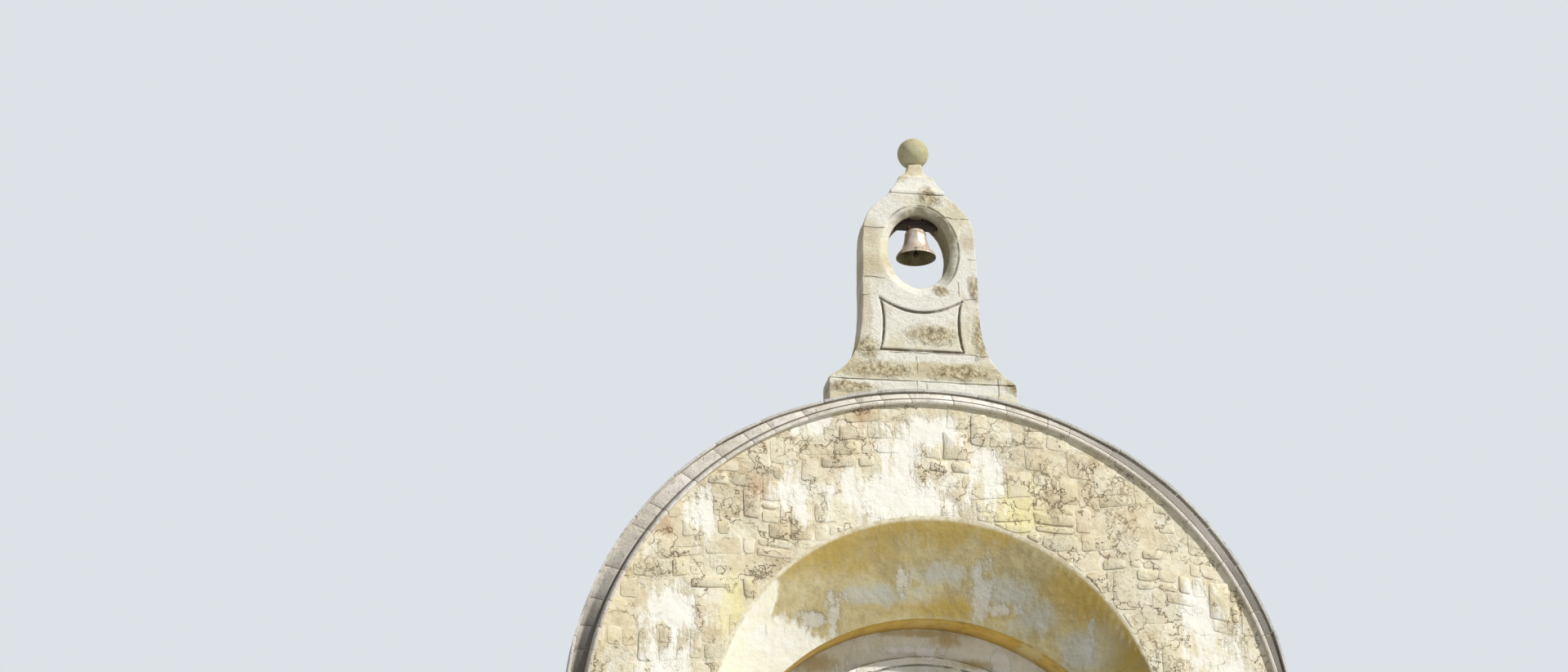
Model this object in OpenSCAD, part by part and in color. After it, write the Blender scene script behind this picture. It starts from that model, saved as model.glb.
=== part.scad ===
// Small stone chapel: a round gabled front with a splayed arch recess, a barrel roof
// and a bellcote with a swinging bell. Millimetres, +Z up, the front faces -Y,
// the origin is on the ground in the middle of the building.

/* [Building] */
// width over the side walls
building_w = 6000; // [5700:50:6300]
// length over the front and rear walls
building_l = 7000; // [6500:100:7600]
// height of the side walls, where the round gable and the vault spring
spring_h = 3500; // [3300:50:3800]
// thickness of the side walls and of the vault that springs from them
side_wall_t = 500; // [420:20:560]
// thickness of the gable walls
gable_wall_t = 450; // [420:10:520]
// thickness of the inner front wall around the doorway
inner_wall_t = 450; // [400:10:520]
// step down from the capping slab over the gables to the roof covering
roof_step = 12; // [8:1:16]
// thickness of the floor slab
floor_t = 150; // [120:10:180]

/* [Coping and eaves] */
// height of the coping above the gable wall, measured along the radius
coping_h = 130; // [110:5:150]
// distance that the coping stands out in front of the wall
coping_out = 40; // [30:5:50]
// distance from the wall face back to the top edge of the sloping coping face
coping_back = 90; // [80:5:100]
// distance that the thin slab stands out over the coping's sloping face
cap_slab_out = 40; // [30:5:50]
// thickness of the thin slab on the coping
cap_slab_t = 22; // [18:1:30]
// height of the eaves course under the roof edge
eaves_h = 120; // [100:5:140]
// distance that the eaves course stands out from the side wall
eaves_out = 115; // [100:5:130]

/* [Arch recess] */
// radius of the recess arch at the wall face
recess_r = 1950; // [1850:10:2000]
// width of the plaster edge around the recess arch
recess_edge = 15; // [10:1:20]
// depth of the splayed reveal
splay_d = 310; // [280:10:330]
// radius of the inner arch
inner_arch_r = 1876; // [1780:4:1880]
// drop of the inner arch's centre below the centre of the recess arch
inner_drop = 740; // [680:10:800]
// depth of the inner arch's straight soffit
soffit_d = 335; // [300:5:360]
// outer radius of the thin moulded arch on the back wall
band_r = 1622; // [1560:2:1640]
// width of the thin moulded arch
band_w = 70; // [60:2:80]
// distance that the thin moulded arch stands out
band_t = 22; // [16:1:30]

/* [Doorway] */
// clear width of the doorway
door_w = 1300; // [1200:20:1400]
// clear height of the doorway above its sill
door_h = 2300; // [2200:20:2400]
// width of the stone frame around the doorway
frame_w = 170; // [150:5:190]
// distance that the stone frame stands out from the back wall of the recess
frame_out = 30; // [20:2:40]
// thickness of the door leaves
leaf_t = 55; // [45:1:60]
// gap between a leaf and the stone around it, and between the two leaves
leaf_gap = 5; // [4:0.5:7]

/* [Bellcote] */
// sideways place of the bellcote, measured from the middle of the front
bellcote_shift = -50; // [-70:5:0]
// width of the bellcote's plinth
plinth_w = 1700; // [1620:10:1760]
// height of the plinth's top above the highest point of the capping slab
plinth_h = 88; // [70:2:110]
// distance that the plinth stands out in front of and behind the bellcote
plinth_lip = 10; // [8:1:14]
// depth of the bellcote, front to back
bellcote_d = 306; // [296:2:312]
// width of the bellcote's upright part
shaft_w = 1050; // [1030:5:1080]
// height of the bellcote between its plinth and its neck stone
shaft_h = 1825; // [1800:5:1850]
// width of the oval opening
oval_w = 554; // [544:2:570]
// height of the oval opening
oval_h = 704; // [690:2:720]
// height of the middle of the oval opening above the plinth's top
oval_rise = 1268; // [1260:1:1275]
// width of the sloping rim around the oval opening
rim_w = 84; // [76:2:90]
// depth of the sloping rim
rim_d = 34; // [26:1:40]
// width of the cut groove of the panel
groove_w = 22; // [18:1:26]
// depth of the cut groove of the panel
groove_d = 12; // [8:0.5:14]
// height of the neck stone under the ball
neck_h = 345; // [330:5:360]
// radius of the stone ball
ball_r = 143; // [135:1:150]

/* [Bell] */
// radius of the bell's mouth
bell_r = 181; // [174:1:186]
// height of the bell from mouth to shoulder
bell_h = 275; // [262:1:282]
// length of the bronze neck between the bell and the headstock
bell_neck_l = 8; // [6:1:12]
// thickness of the bell's wall at the waist
bell_wall = 13; // [11:0.5:15]
// height of the swing axis above the middle of the oval opening
axis_rise = 311; // [304:1:314]
// thickness of the wooden headstock
headstock_t = 84; // [78:1:88]
// length of the wooden headstock
headstock_l = 380; // [370:2:386]
// radius of the swing pins
pin_r = 14; // [12:0.5:16]
// running gap between a swing pin and its bearing, on the radius
pin_gap = 0.05; // [0.02:0.01:0.1]
// free space around the headstock in its stone pockets
pocket_gap = 9; // [8:0.5:10]
// thickness of the iron straps
strap_t = 5; // [4:0.5:6]
// radius of the clapper's ball
clapper_r = 24; // [20:1:26]

/* [Hidden] */

arch_fn = 144;
seat_fn = 720;
round_fn = 48;
wire_fn = 24;
ball_fn = 96;
bell_fn = 72;
oval_fn = 64;
sag_fn = 12;
sliver = 0.5;

half_w = building_w / 2;
half_l = building_l / 2;
front_y = -half_l;
roof_y = front_y + gable_wall_t;
roof_l = building_l - 2 * gable_wall_t;
vault_in_r = half_w - side_wall_t;
coping_r = half_w + coping_h;
slab_r = coping_r + cap_slab_t;
roof_r = slab_r - roof_step;
slab_y = coping_back - cap_slab_out;

opening_r = recess_r + recess_edge;
soffit_y = front_y + splay_d;
back_y = soffit_y + soffit_d;
wall_end_y = front_y + gable_wall_t + inner_wall_t;
back_wall_t = wall_end_y - back_y;
inner_spring_h = spring_h - inner_drop;

sill_d = frame_out + back_wall_t;
door_top = floor_t + door_h;
lintel_h = frame_w * 1.25;
leaf_w = (door_w - 3 * leaf_gap) / 2;
leaf_h = door_h - 2 * leaf_gap;
leaf_y = back_y + back_wall_t * 0.4;
ring_r = 55;
ring_wire = 7;
ring_x = leaf_w * 0.16;
ring_z = floor_t + door_h * 0.45;
boss_r = 2.2 * ring_wire;
boss_l = 3 * ring_wire;

plinth_top = spring_h + slab_r + plinth_h;
plinth_y = front_y + coping_back;
bellcote_y = plinth_y + plinth_lip;
bellcote_mid_y = bellcote_y + bellcote_d / 2;
plinth_d = bellcote_d + 2 * plinth_lip;
neck_z = plinth_top + shaft_h;
ball_seat_r = 62;
ball_z = neck_z + neck_h + sqrt(ball_r * ball_r - ball_seat_r * ball_seat_r);

oval_z = plinth_top + oval_rise;
axis_z = oval_z + axis_rise;
swing_r = (headstock_t / 2 + strap_t) * sqrt(2);
pocket_w = 2 * (swing_r + pocket_gap);
pocket_end = headstock_l / 2 + pocket_gap;
bearing_l = 50;
bearing_w = 66;
pin_l = pocket_gap + bearing_l * 0.8;
strap_w = 22;
strap_x = 62;
crown_z = axis_z - headstock_t / 2 - bell_neck_l;
mouth_z = crown_z - bell_h;
bell_neck_r = 26;
crown_in_h = bell_h - bell_wall * 1.4;
lip_t = bell_wall * 0.6;

staple_w = 6;
staple_gap = 12;
staple_reach = 10;
staple_drop = 30;
clapper_pin_r = 5;
eye_r = 13;
eye_w = staple_gap;
stem_r = 5.5;
stem_seat = 10;
clapper_z = mouth_z + crown_in_h - staple_drop;
clapper_l = bell_h * 0.70;

// half widths of the bellcote, as shares of half its upright width, and heights as shares of shaft_h
body_shares = [
  [1.62, 0], [1.54, 0.022], [1.42, 0.046], [1.30, 0.080], [1.20, 0.122], [1.12, 0.172],
  [1.065, 0.230], [1.03, 0.300], [1.01, 0.400], [1, 0.520], [0.995, 0.680], [0.985, 0.760],
  [0.965, 0.815], [0.925, 0.860], [0.860, 0.897], [0.775, 0.928], [0.660, 0.958], [0.560, 0.980], [0.478, 1]
];
// half widths and heights of the neck stone, as shares of its foot's half width and of neck_h
neck_shares = [
  [1, 0], [1, 0.09], [0.95, 0.12], [0.84, 0.24], [0.74, 0.36], [0.65, 0.49], [0.635, 0.55],
  [0.52, 0.58], [0.40, 0.66], [0.31, 0.77], [0.26, 0.88], [0.245, 1]
];
// corners of the cut panel: half width as shares of half the upright width, heights as shares of shaft_h
panel_shares = [[0.74, 0.154], [0.70, 0.202], [0.672, 0.262], [0.668, 0.332], [0.690, 0.392], [0.735, 0.440]];
panel_sag = shaft_h * 0.072;
// front of the coping's section: height over the wall's edge and stand-out, as shares of the coping's own
coping_front = [[0, 0], [-0.08, 0], [-0.08, 0.75], [-0.04, 1], [0.08, 1], [0.17, 0.80], [0.25, 0.30]];
// slope of the coping's section: height over the wall's edge and set-back, as shares of the coping's own
coping_slope = [[0.30, 0.10], [0.40, 0.22], [0.60, 0.44], [0.80, 0.70], [1, 1]];
// eaves outline: stand-out as shares of eaves_out, height as shares of eaves_h
eaves_shares = [[0, 0], [0.30, 0], [0.36, 0.20], [0.62, 0.44], [0.90, 0.52], [1, 0.60], [1, 1], [0, 1]];
// bell outline: radius as shares of the mouth radius, height as shares of the bell's height
bell_shares = [
  [1, 0], [0.985, 0.03], [0.93, 0.09], [0.86, 0.16], [0.78, 0.235], [0.71, 0.32], [0.65, 0.42],
  [0.60, 0.54], [0.565, 0.66], [0.54, 0.78], [0.515, 0.87], [0.46, 0.94], [0.36, 0.985], [0.20, 1]
];

// a flat outline drawn in x and z, made solid from y = 0 back to y = depth
module upright(depth) {
  rotate([90, 0, 0])
    translate([0, 0, -depth])
      linear_extrude(height = depth)
        children();
}

// a round-headed outline that springs at the given height
module round_head(r, spring, foot = 0) {
  intersection() {
    translate([-r, foot])
      square([2 * r, spring + r - foot]);
    union() {
      translate([-r, foot])
        square([2 * r, spring - foot]);
      translate([0, spring])
        circle(r = r, $fn = arch_fn);
    }
  }
}

module half_ring(out_r, in_r) {
  translate([0, spring_h])
    difference() {
      circle(r = out_r, $fn = arch_fn);
      circle(r = in_r, $fn = arch_fn);
      translate([-2 * out_r, -2 * out_r])
        square([4 * out_r, 2 * out_r]);
    }
}

module front_wall() {
  color("Wheat")
    translate([0, front_y, 0])
      upright(gable_wall_t)
        difference() {
          round_head(half_w, spring_h);
          round_head(opening_r, spring_h);
        }
}

module portal_wall() {
  color("Wheat")
    translate([0, roof_y, 0])
      upright(inner_wall_t)
        difference() {
          round_head(vault_in_r, spring_h);
          round_head(opening_r, spring_h);
        }
}

module side_wall(side) {
  color("Wheat")
    translate([side > 0 ? vault_in_r : -half_w, roof_y, 0])
      cube([side_wall_t, roof_l, spring_h]);
}

module rear_wall() {
  color("Wheat")
    translate([0, half_l - gable_wall_t, 0])
      upright(gable_wall_t)
        round_head(half_w, spring_h);
}

module vault() {
  color("LightGray")
    translate([0, roof_y, 0])
      upright(roof_l)
        half_ring(half_w, vault_in_r);
}

module roof_skin() {
  color("Gainsboro")
    translate([0, roof_y, 0])
      upright(roof_l)
        half_ring(roof_r, half_w);
}

module floor_slab() {
  color("Gray")
    translate([-vault_in_r, wall_end_y, 0])
      cube([2 * vault_in_r, half_l - gable_wall_t - wall_end_y, floor_t]);
}

// section of the coping: radius across, depth from the wall face upward
module coping_section() {
  polygon(concat(
    [for (c = coping_front) [half_w + c[0] * coping_h, -c[1] * coping_out]],
    [for (c = coping_slope) [half_w + c[0] * coping_h, c[1] * coping_back]],
    [[coping_r, gable_wall_t], [half_w, gable_wall_t]]
  ));
}

// turns a section about the middle of the gable arch, from angle 0 on the right
module around_gable(angle) {
  translate([0, front_y, spring_h])
    rotate([90, 0, 0])
      mirror([0, 0, 1])
        rotate_extrude(angle = angle, $fn = arch_fn)
          children();
}

module front_coping() {
  color("Ivory")
    around_gable(180)
      coping_section();
}

module rear_coping() {
  color("Ivory")
    mirror([0, 1, 0])
      around_gable(180)
        coping_section();
}

module slab_section() {
  translate([coping_r, slab_y])
    square([cap_slab_t, gable_wall_t - slab_y]);
}

module front_cap_slab() {
  color("Snow")
    around_gable(180)
      slab_section();
}

module rear_cap_slab() {
  color("Snow")
    mirror([0, 1, 0])
      around_gable(180)
        slab_section();
}

module eaves(side) {
  color("Ivory")
    mirror([side > 0 ? 0 : 1, 0, 0])
      translate([half_w, front_y, spring_h - eaves_h])
        upright(building_l)
          polygon([for (e = eaves_shares) [e[0] * eaves_out, e[1] * eaves_h]]);
}

module recess_splay() {
  color("Cornsilk")
    difference() {
      translate([0, front_y, 0])
        upright(splay_d)
          round_head(opening_r, spring_h);
      hull() {
        translate([0, front_y - sliver, 0])
          upright(sliver)
            round_head(recess_r, spring_h, -sliver);
        translate([0, soffit_y, 0])
          upright(sliver)
            round_head(inner_arch_r, inner_spring_h, -sliver);
      }
    }
}

module inner_arch() {
  color("Peru")
    translate([0, soffit_y, 0])
      upright(soffit_d)
        difference() {
          round_head(opening_r, spring_h);
          round_head(inner_arch_r, inner_spring_h, -sliver);
        }
}

module recess_back_wall() {
  color("Linen")
    translate([0, back_y, 0])
      upright(back_wall_t)
        difference() {
          round_head(opening_r, spring_h);
          translate([-door_w / 2 - frame_w, -sliver])
            square([door_w + 2 * frame_w, door_top + lintel_h + sliver]);
        }
}

module arch_band() {
  color("White")
    translate([0, back_y - band_t, 0])
      upright(band_t)
        difference() {
          round_head(band_r, inner_spring_h);
          round_head(band_r - band_w, inner_spring_h, -sliver);
        }
}

module door_frame(side) {
  color("BurlyWood")
    translate([side > 0 ? door_w / 2 : -door_w / 2 - frame_w, back_y - frame_out, floor_t])
      cube([frame_w, sill_d, door_h]);
}

module door_lintel() {
  color("BurlyWood")
    translate([-door_w / 2 - frame_w, back_y - frame_out, door_top])
      cube([door_w + 2 * frame_w, sill_d, lintel_h]);
}

module door_sill() {
  color("DarkGray")
    translate([-door_w / 2 - frame_w, back_y - frame_out, 0])
      cube([door_w + 2 * frame_w, sill_d, floor_t]);
}

module door_leaf(side) {
  color("SaddleBrown")
    translate([side > 0 ? leaf_gap / 2 : -leaf_gap / 2 - leaf_w, leaf_y, floor_t])
      cube([leaf_w, leaf_t, leaf_h]);
}

// an iron ring handle that hangs flat on the right leaf
module door_ring() {
  color("DimGray")
    translate([ring_x, leaf_y, ring_z]) {
      translate([0, 0, ring_r])
        rotate([90, 0, 0])
          cylinder(h = boss_l, r = boss_r, $fn = round_fn);
      translate([0, -ring_wire, 0])
        rotate([90, 0, 0])
          rotate_extrude($fn = round_fn)
            translate([ring_r, 0])
              circle(r = ring_wire, $fn = wire_fn);
    }
}

module plinth_stone() {
  color("Tan")
    difference() {
      translate([bellcote_shift - plinth_w / 2, plinth_y, spring_h])
        cube([plinth_w, plinth_d, slab_r + plinth_h]);
      translate([0, front_y - sliver, spring_h])
        rotate([-90, 0, 0])
          cylinder(h = gable_wall_t + sliver, r = slab_r, $fn = seat_fn);
    }
}

module mirrored_outline(points) {
  polygon(concat(
    [for (p = points) [p[0], p[1]]],
    [for (i = [len(points) - 1:-1:0]) [-points[i][0], points[i][1]]]
  ));
}

module oval_outline(grow) {
  polygon([
    for (i = [0:oval_fn - 1])
      [(oval_w / 2 + grow) * cos(i * 360 / oval_fn), oval_rise + (oval_h / 2 + grow) * sin(i * 360 / oval_fn)]
  ]);
}

module oval_rim_cut() {
  hull() {
    translate([0, -sliver, 0])
      upright(sliver)
        oval_outline(rim_w);
    translate([0, rim_d, 0])
      upright(sliver)
        oval_outline(0);
  }
}

// the cut panel's outline with its sagging top edge, drawn smaller by the given amount
module panel_outline(shrink) {
  last = len(panel_shares) - 1;
  side = [
    for (i = [0:last])
      [panel_shares[i][0] * shaft_w / 2 - shrink,
        panel_shares[i][1] * shaft_h + (i == 0 ? shrink : 0) - (i == last ? shrink : 0)]
  ];
  polygon(concat(
    side,
    [for (t = [1:-2 / sag_fn:-1]) [t * side[last][0], side[last][1] - panel_sag * (1 - t * t)]],
    [for (i = [last:-1:0]) [-side[i][0], side[i][1]]]
  ));
}

module bellcote_body() {
  color("Tan")
    translate([bellcote_shift, bellcote_y, plinth_top])
      difference() {
        upright(bellcote_d)
          difference() {
            mirrored_outline([for (s = body_shares) [s[0] * shaft_w / 2, s[1] * shaft_h]]);
            oval_outline(0);
          }
        oval_rim_cut();
        translate([0, bellcote_d, 0])
          mirror([0, 1, 0])
            oval_rim_cut();
        translate([0, -sliver, 0])
          upright(groove_d + sliver)
            difference() {
              panel_outline(0);
              panel_outline(groove_w);
            }
        translate([0, bellcote_d / 2, axis_z - plinth_top]) {
          cube([2 * pocket_end, pocket_w, pocket_w], center = true);
          cube([2 * (pocket_end + bearing_l), bearing_w, bearing_w], center = true);
        }
      }
}

module neck_stone() {
  foot = body_shares[len(body_shares) - 1][0] * shaft_w / 2;
  top = neck_shares[len(neck_shares) - 1][0];
  narrowing = (bellcote_d / 2 - ball_seat_r) / (1 - top);
  color("Tan")
    translate([bellcote_shift, bellcote_mid_y, neck_z])
      intersection() {
        translate([0, -bellcote_d / 2, 0])
          upright(bellcote_d)
            mirrored_outline([for (s = neck_shares) [s[0] * foot, s[1] * neck_h]]);
        rotate([0, 0, 90])
          translate([0, -foot, 0])
            upright(2 * foot)
              mirrored_outline([
                for (s = neck_shares) [ball_seat_r + (s[0] - top) * narrowing, s[1] * neck_h]
              ]);
      }
}

module ball_finial() {
  color("Tan")
    translate([bellcote_shift, bellcote_mid_y, ball_z])
      difference() {
        sphere(r = ball_r, $fn = ball_fn);
        translate([-ball_r, -ball_r, -ball_r - (ball_z - neck_z - neck_h)])
          cube([2 * ball_r, 2 * ball_r, ball_r]);
      }
}

module bearing(side) {
  color("DimGray")
    translate([bellcote_shift + (side > 0 ? pocket_end : -pocket_end - bearing_l), bellcote_mid_y, axis_z])
      difference() {
        translate([0, -bearing_w / 2, -bearing_w / 2])
          cube([bearing_l, bearing_w, bearing_w]);
        translate([-sliver, 0, 0])
          rotate([0, 90, 0])
            cylinder(h = bearing_l + 2 * sliver, r = pin_r + pin_gap, $fn = round_fn);
      }
}

module headstock() {
  color("SaddleBrown")
    translate([bellcote_shift - headstock_l / 2, bellcote_mid_y - headstock_t / 2, axis_z - headstock_t / 2])
      cube([headstock_l, headstock_t, headstock_t]);
}

module headstock_pins() {
  color("DimGray")
    for (side = [-1, 1])
      translate([bellcote_shift + side * (headstock_l + pin_l) / 2, bellcote_mid_y, axis_z])
        rotate([0, 90, 0])
          cylinder(h = pin_l, r = pin_r, center = true, $fn = round_fn);
}

module headstock_straps() {
  color("DimGray")
    for (side = [-1, 1])
      translate([bellcote_shift + side * strap_x - strap_w / 2, bellcote_mid_y, axis_z])
        difference() {
          translate([0, -headstock_t / 2 - strap_t, -headstock_t / 2 - strap_t])
            cube([strap_w, headstock_t + 2 * strap_t, headstock_t + 2 * strap_t]);
          translate([-sliver, -headstock_t / 2, -headstock_t / 2])
            cube([strap_w + 2 * sliver, headstock_t, headstock_t]);
        }
}

module bell() {
  last = len(bell_shares) - 1;
  color("DarkGoldenrod")
    translate([bellcote_shift, bellcote_mid_y, mouth_z])
      rotate_extrude($fn = bell_fn)
        polygon(concat(
          [for (s = bell_shares) [s[0] * bell_r, s[1] * bell_h]],
          [[bell_neck_r, bell_h], [bell_neck_r, bell_h + bell_neck_l], [0, bell_h + bell_neck_l]],
          [[0, crown_in_h], [bell_shares[last - 1][0] * bell_r - bell_wall, crown_in_h]],
          [for (i = [last - 2:-1:1]) [bell_shares[i][0] * bell_r - bell_wall,
            bell_shares[i][1] * bell_h - (i > last - 4 ? lip_t : 0)]],
          [[bell_r - lip_t, 0]]
        ));
}

module clapper_staple() {
  color("DimGray")
    translate([bellcote_shift, bellcote_mid_y, clapper_z]) {
      for (side = [-1, 1])
        translate([side > 0 ? staple_gap : -staple_gap - staple_w, -staple_reach, -staple_reach])
          cube([staple_w, 2 * staple_reach, staple_drop + staple_reach]);
      translate([-staple_gap - sliver, 0, 0])
        rotate([0, 90, 0])
          cylinder(h = 2 * staple_gap + 2 * sliver, r = clapper_pin_r, $fn = round_fn);
    }
}

module clapper() {
  color("DimGray")
    translate([bellcote_shift, bellcote_mid_y, clapper_z])
      difference() {
        union() {
          translate([-eye_w / 2, 0, 0])
            rotate([0, 90, 0])
              cylinder(h = eye_w, r = eye_r, $fn = round_fn);
          translate([0, 0, -clapper_l])
            cylinder(h = clapper_l - stem_seat, r = stem_r, $fn = round_fn);
          translate([0, 0, -clapper_l])
            sphere(r = clapper_r, $fn = round_fn);
        }
        translate([-eye_w, 0, 0])
          rotate([0, 90, 0])
            cylinder(h = 2 * eye_w, r = clapper_pin_r + pin_gap, $fn = round_fn);
      }
}

front_wall();
portal_wall();
side_wall(-1);  // side_wall_left
side_wall(1);  // side_wall_right
rear_wall();
vault();
roof_skin();
floor_slab();
front_coping();
rear_coping();
front_cap_slab();
rear_cap_slab();
eaves(-1);  // eaves_left
eaves(1);  // eaves_right
recess_splay();
inner_arch();
recess_back_wall();
arch_band();
door_frame(-1);  // door_frame_left
door_frame(1);  // door_frame_right
door_lintel();
door_sill();
door_leaf(-1);  // door_leaf_left
door_leaf(1);  // door_leaf_right
door_ring();
plinth_stone();
bellcote_body();
neck_stone();
ball_finial();
bearing(-1);  // bearing_left
bearing(1);  // bearing_right
headstock();
headstock_pins();
headstock_straps();
bell();
clapper_staple();
clapper();
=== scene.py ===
# %% [markdown]
# # Dressing a small stone chapel
# The solids of the chapel are made already: walls, barrel roof, coping, arched recess, bellcote
# and bell. They fix every size. This lesson gives them their surfaces: rubble, limewash, slabs,
# boards, iron and bronze. Where a solid's shape is right it keeps its place and only gets a
# finish. Where the real surface is laid by hand, modelled stones cover the solid or stand for it.

# %% Load the solids
import bpy, bmesh, math, random
from mathutils import Matrix, Vector, noise


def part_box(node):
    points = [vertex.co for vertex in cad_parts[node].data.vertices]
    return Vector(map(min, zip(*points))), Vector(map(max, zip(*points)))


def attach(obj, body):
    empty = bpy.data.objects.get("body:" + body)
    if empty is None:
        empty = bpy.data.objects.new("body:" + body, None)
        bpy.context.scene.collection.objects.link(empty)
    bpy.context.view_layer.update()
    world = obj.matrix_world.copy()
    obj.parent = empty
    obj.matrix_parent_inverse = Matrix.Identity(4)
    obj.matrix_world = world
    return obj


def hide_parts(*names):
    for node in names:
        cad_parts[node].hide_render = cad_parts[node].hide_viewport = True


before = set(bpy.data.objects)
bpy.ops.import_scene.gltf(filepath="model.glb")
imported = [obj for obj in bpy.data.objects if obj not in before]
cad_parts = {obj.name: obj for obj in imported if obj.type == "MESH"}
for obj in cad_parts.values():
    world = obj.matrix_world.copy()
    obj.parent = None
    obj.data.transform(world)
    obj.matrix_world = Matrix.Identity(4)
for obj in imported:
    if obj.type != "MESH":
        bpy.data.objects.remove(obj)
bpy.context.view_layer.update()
scene = bpy.context.scene
noise.seed_set(5)  # the same unevenness in every run

# %% Sizes that the stones are set out from
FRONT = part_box("front_wall")[0].y
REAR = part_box("rear_wall")[1].y
HALF_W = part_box("front_wall")[1].x
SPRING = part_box("side_wall_left")[1].z
EAVES_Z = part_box("eaves_left")[0].z
ROOF_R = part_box("roof_skin")[1].x
RECESS_R = 1.95
print("front at", round(FRONT, 3), "half width", round(HALF_W, 3), "spring", round(SPRING, 3))

# %% [markdown]
# ## Camera
# The chapel is seen from below and from the left, through a long lens. A camera is a place, a
# direction and a lens, and the three can be solved from the ellipses that the round gable and
# the arch make in a view. The result is written here as a place and three angles.

# %% Camera
CAMERA_AT = Vector((-4.746, -24.95, -1.77))
YAW, PITCH, ROLL = (math.radians(a) for a in (9.11, 22.13, -0.55))
lens_data = bpy.data.cameras.new("camera")
lens_data.sensor_width = 36
lens_data.lens = 61.48
camera = bpy.data.objects.new("camera", lens_data)
scene.collection.objects.link(camera)
turn = Matrix.Rotation(-YAW, 4, 'Z') @ Matrix.Rotation(math.pi / 2 + PITCH, 4, 'X') @ Matrix.Rotation(ROLL, 4, 'Z')
camera.matrix_world = Matrix.Translation(CAMERA_AT) @ turn
scene.camera = camera
print("lens", lens_data.lens)

# %% [markdown]
# ## Light and floor
# One soft sun from the upper right models the stone, and a pale sky fills the shade. Together
# they light a wall so that a colour comes out about as it is written. The sky that the camera
# sees is a plain pale tone, chosen apart from the light that the sky gives. The floor runs out
# into the same tone, so no edge shows behind the chapel.

# %% Sun, sky and floor
sun_data = bpy.data.lights.new("sun", 'SUN')
sun_data.energy = 3.9
sun_data.angle = math.radians(1.5)
sun = bpy.data.objects.new("sun", sun_data)
sun.matrix_world = Vector((0.62, -0.52, 0.59)).to_track_quat('Z', 'Y').to_matrix().to_4x4()
scene.collection.objects.link(sun)

world = bpy.data.worlds.new("sky")
scene.world = world
world.use_nodes = True
sky = world.node_tree
sky_light = sky.nodes["Background"]
sky_light.inputs["Color"].default_value = (0.88, 0.93, 1, 1)
sky_light.inputs["Strength"].default_value = 0.34
sky_seen = sky.nodes.new("ShaderNodeBackground")
sky_seen.inputs["Color"].default_value = (0.72, 0.76, 0.80, 1)
rays = sky.nodes.new("ShaderNodeLightPath")
seen = sky.nodes.new("ShaderNodeMath")
seen.operation = 'MAXIMUM'
choose = sky.nodes.new("ShaderNodeMixShader")
sky.links.new(rays.outputs["Is Camera Ray"], seen.inputs[0])
sky.links.new(rays.outputs["Is Glossy Ray"], seen.inputs[1])
sky.links.new(seen.outputs[0], choose.inputs[0])
sky.links.new(sky_light.outputs[0], choose.inputs[1])
sky.links.new(sky_seen.outputs[0], choose.inputs[2])
sky.links.new(choose.outputs[0], sky.nodes["World Output"].inputs["Surface"])
scene.view_settings.view_transform = 'Standard'

ground = bmesh.new()
bmesh.ops.create_circle(ground, cap_ends=True, segments=96, radius=24, matrix=Matrix.Translation((0, 8, -0.002)))
ground_mesh = bpy.data.meshes.new("floor")
ground.to_mesh(ground_mesh)
floor = bpy.data.objects.new("floor", ground_mesh)
scene.collection.objects.link(floor)
floor_paint = bpy.data.materials.new("pale_floor")
floor_paint.use_nodes = True
paper = floor_paint.node_tree
matt = paper.nodes["Principled BSDF"]
matt.inputs["Base Color"].default_value = (0.56, 0.56, 0.55, 1)
matt.inputs["Roughness"].default_value = 0.9
where = paper.nodes.new("ShaderNodeTexCoord")
off = paper.nodes.new("ShaderNodeVectorMath")
off.operation = 'DISTANCE'
off.inputs[1].default_value = (-2, 4, 0)
fade = paper.nodes.new("ShaderNodeMapRange")
fade.interpolation_type = 'SMOOTHSTEP'
fade.inputs["From Min"].default_value, fade.inputs["From Max"].default_value = 9, 19
floor_rays = paper.nodes.new("ShaderNodeLightPath")
only_seen = paper.nodes.new("ShaderNodeMath")
only_seen.operation = 'MULTIPLY'
far_tone = paper.nodes.new("ShaderNodeEmission")
far_tone.inputs["Color"].default_value = sky_seen.inputs["Color"].default_value
blend = paper.nodes.new("ShaderNodeMixShader")
paper.links.new(where.outputs["Object"], off.inputs[0])
paper.links.new(off.outputs["Value"], fade.inputs["Value"])
paper.links.new(fade.outputs[0], only_seen.inputs[0])
paper.links.new(floor_rays.outputs["Is Camera Ray"], only_seen.inputs[1])
paper.links.new(only_seen.outputs[0], blend.inputs[0])
paper.links.new(matt.outputs[0], blend.inputs[1])
paper.links.new(far_tone.outputs[0], blend.inputs[2])
paper.links.new(blend.outputs[0], paper.nodes["Material Output"].inputs["Surface"])
ground_mesh.materials.append(floor_paint)
print("floor radius 24 m")

# %% [markdown]
# ## How a finish is mixed
# Old stone, limewash and iron differ less in kind than in measure: each is a patchy colour, a
# roughness and a relief. A small class holds the few node kinds that all of them use, so a
# finish reads as a short recipe. Patterns read the piece's own coordinates in metres, which
# keeps a grain or a stain at its real size on every piece.

# %% The finish class
def paint(r, g, b):
    """A screen colour from 0 to 255 as the linear colour that a shader takes."""
    return tuple(((c / 255 + 0.055) / 1.055) ** 2.4 for c in (r, g, b)) + (1.0,)

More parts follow.
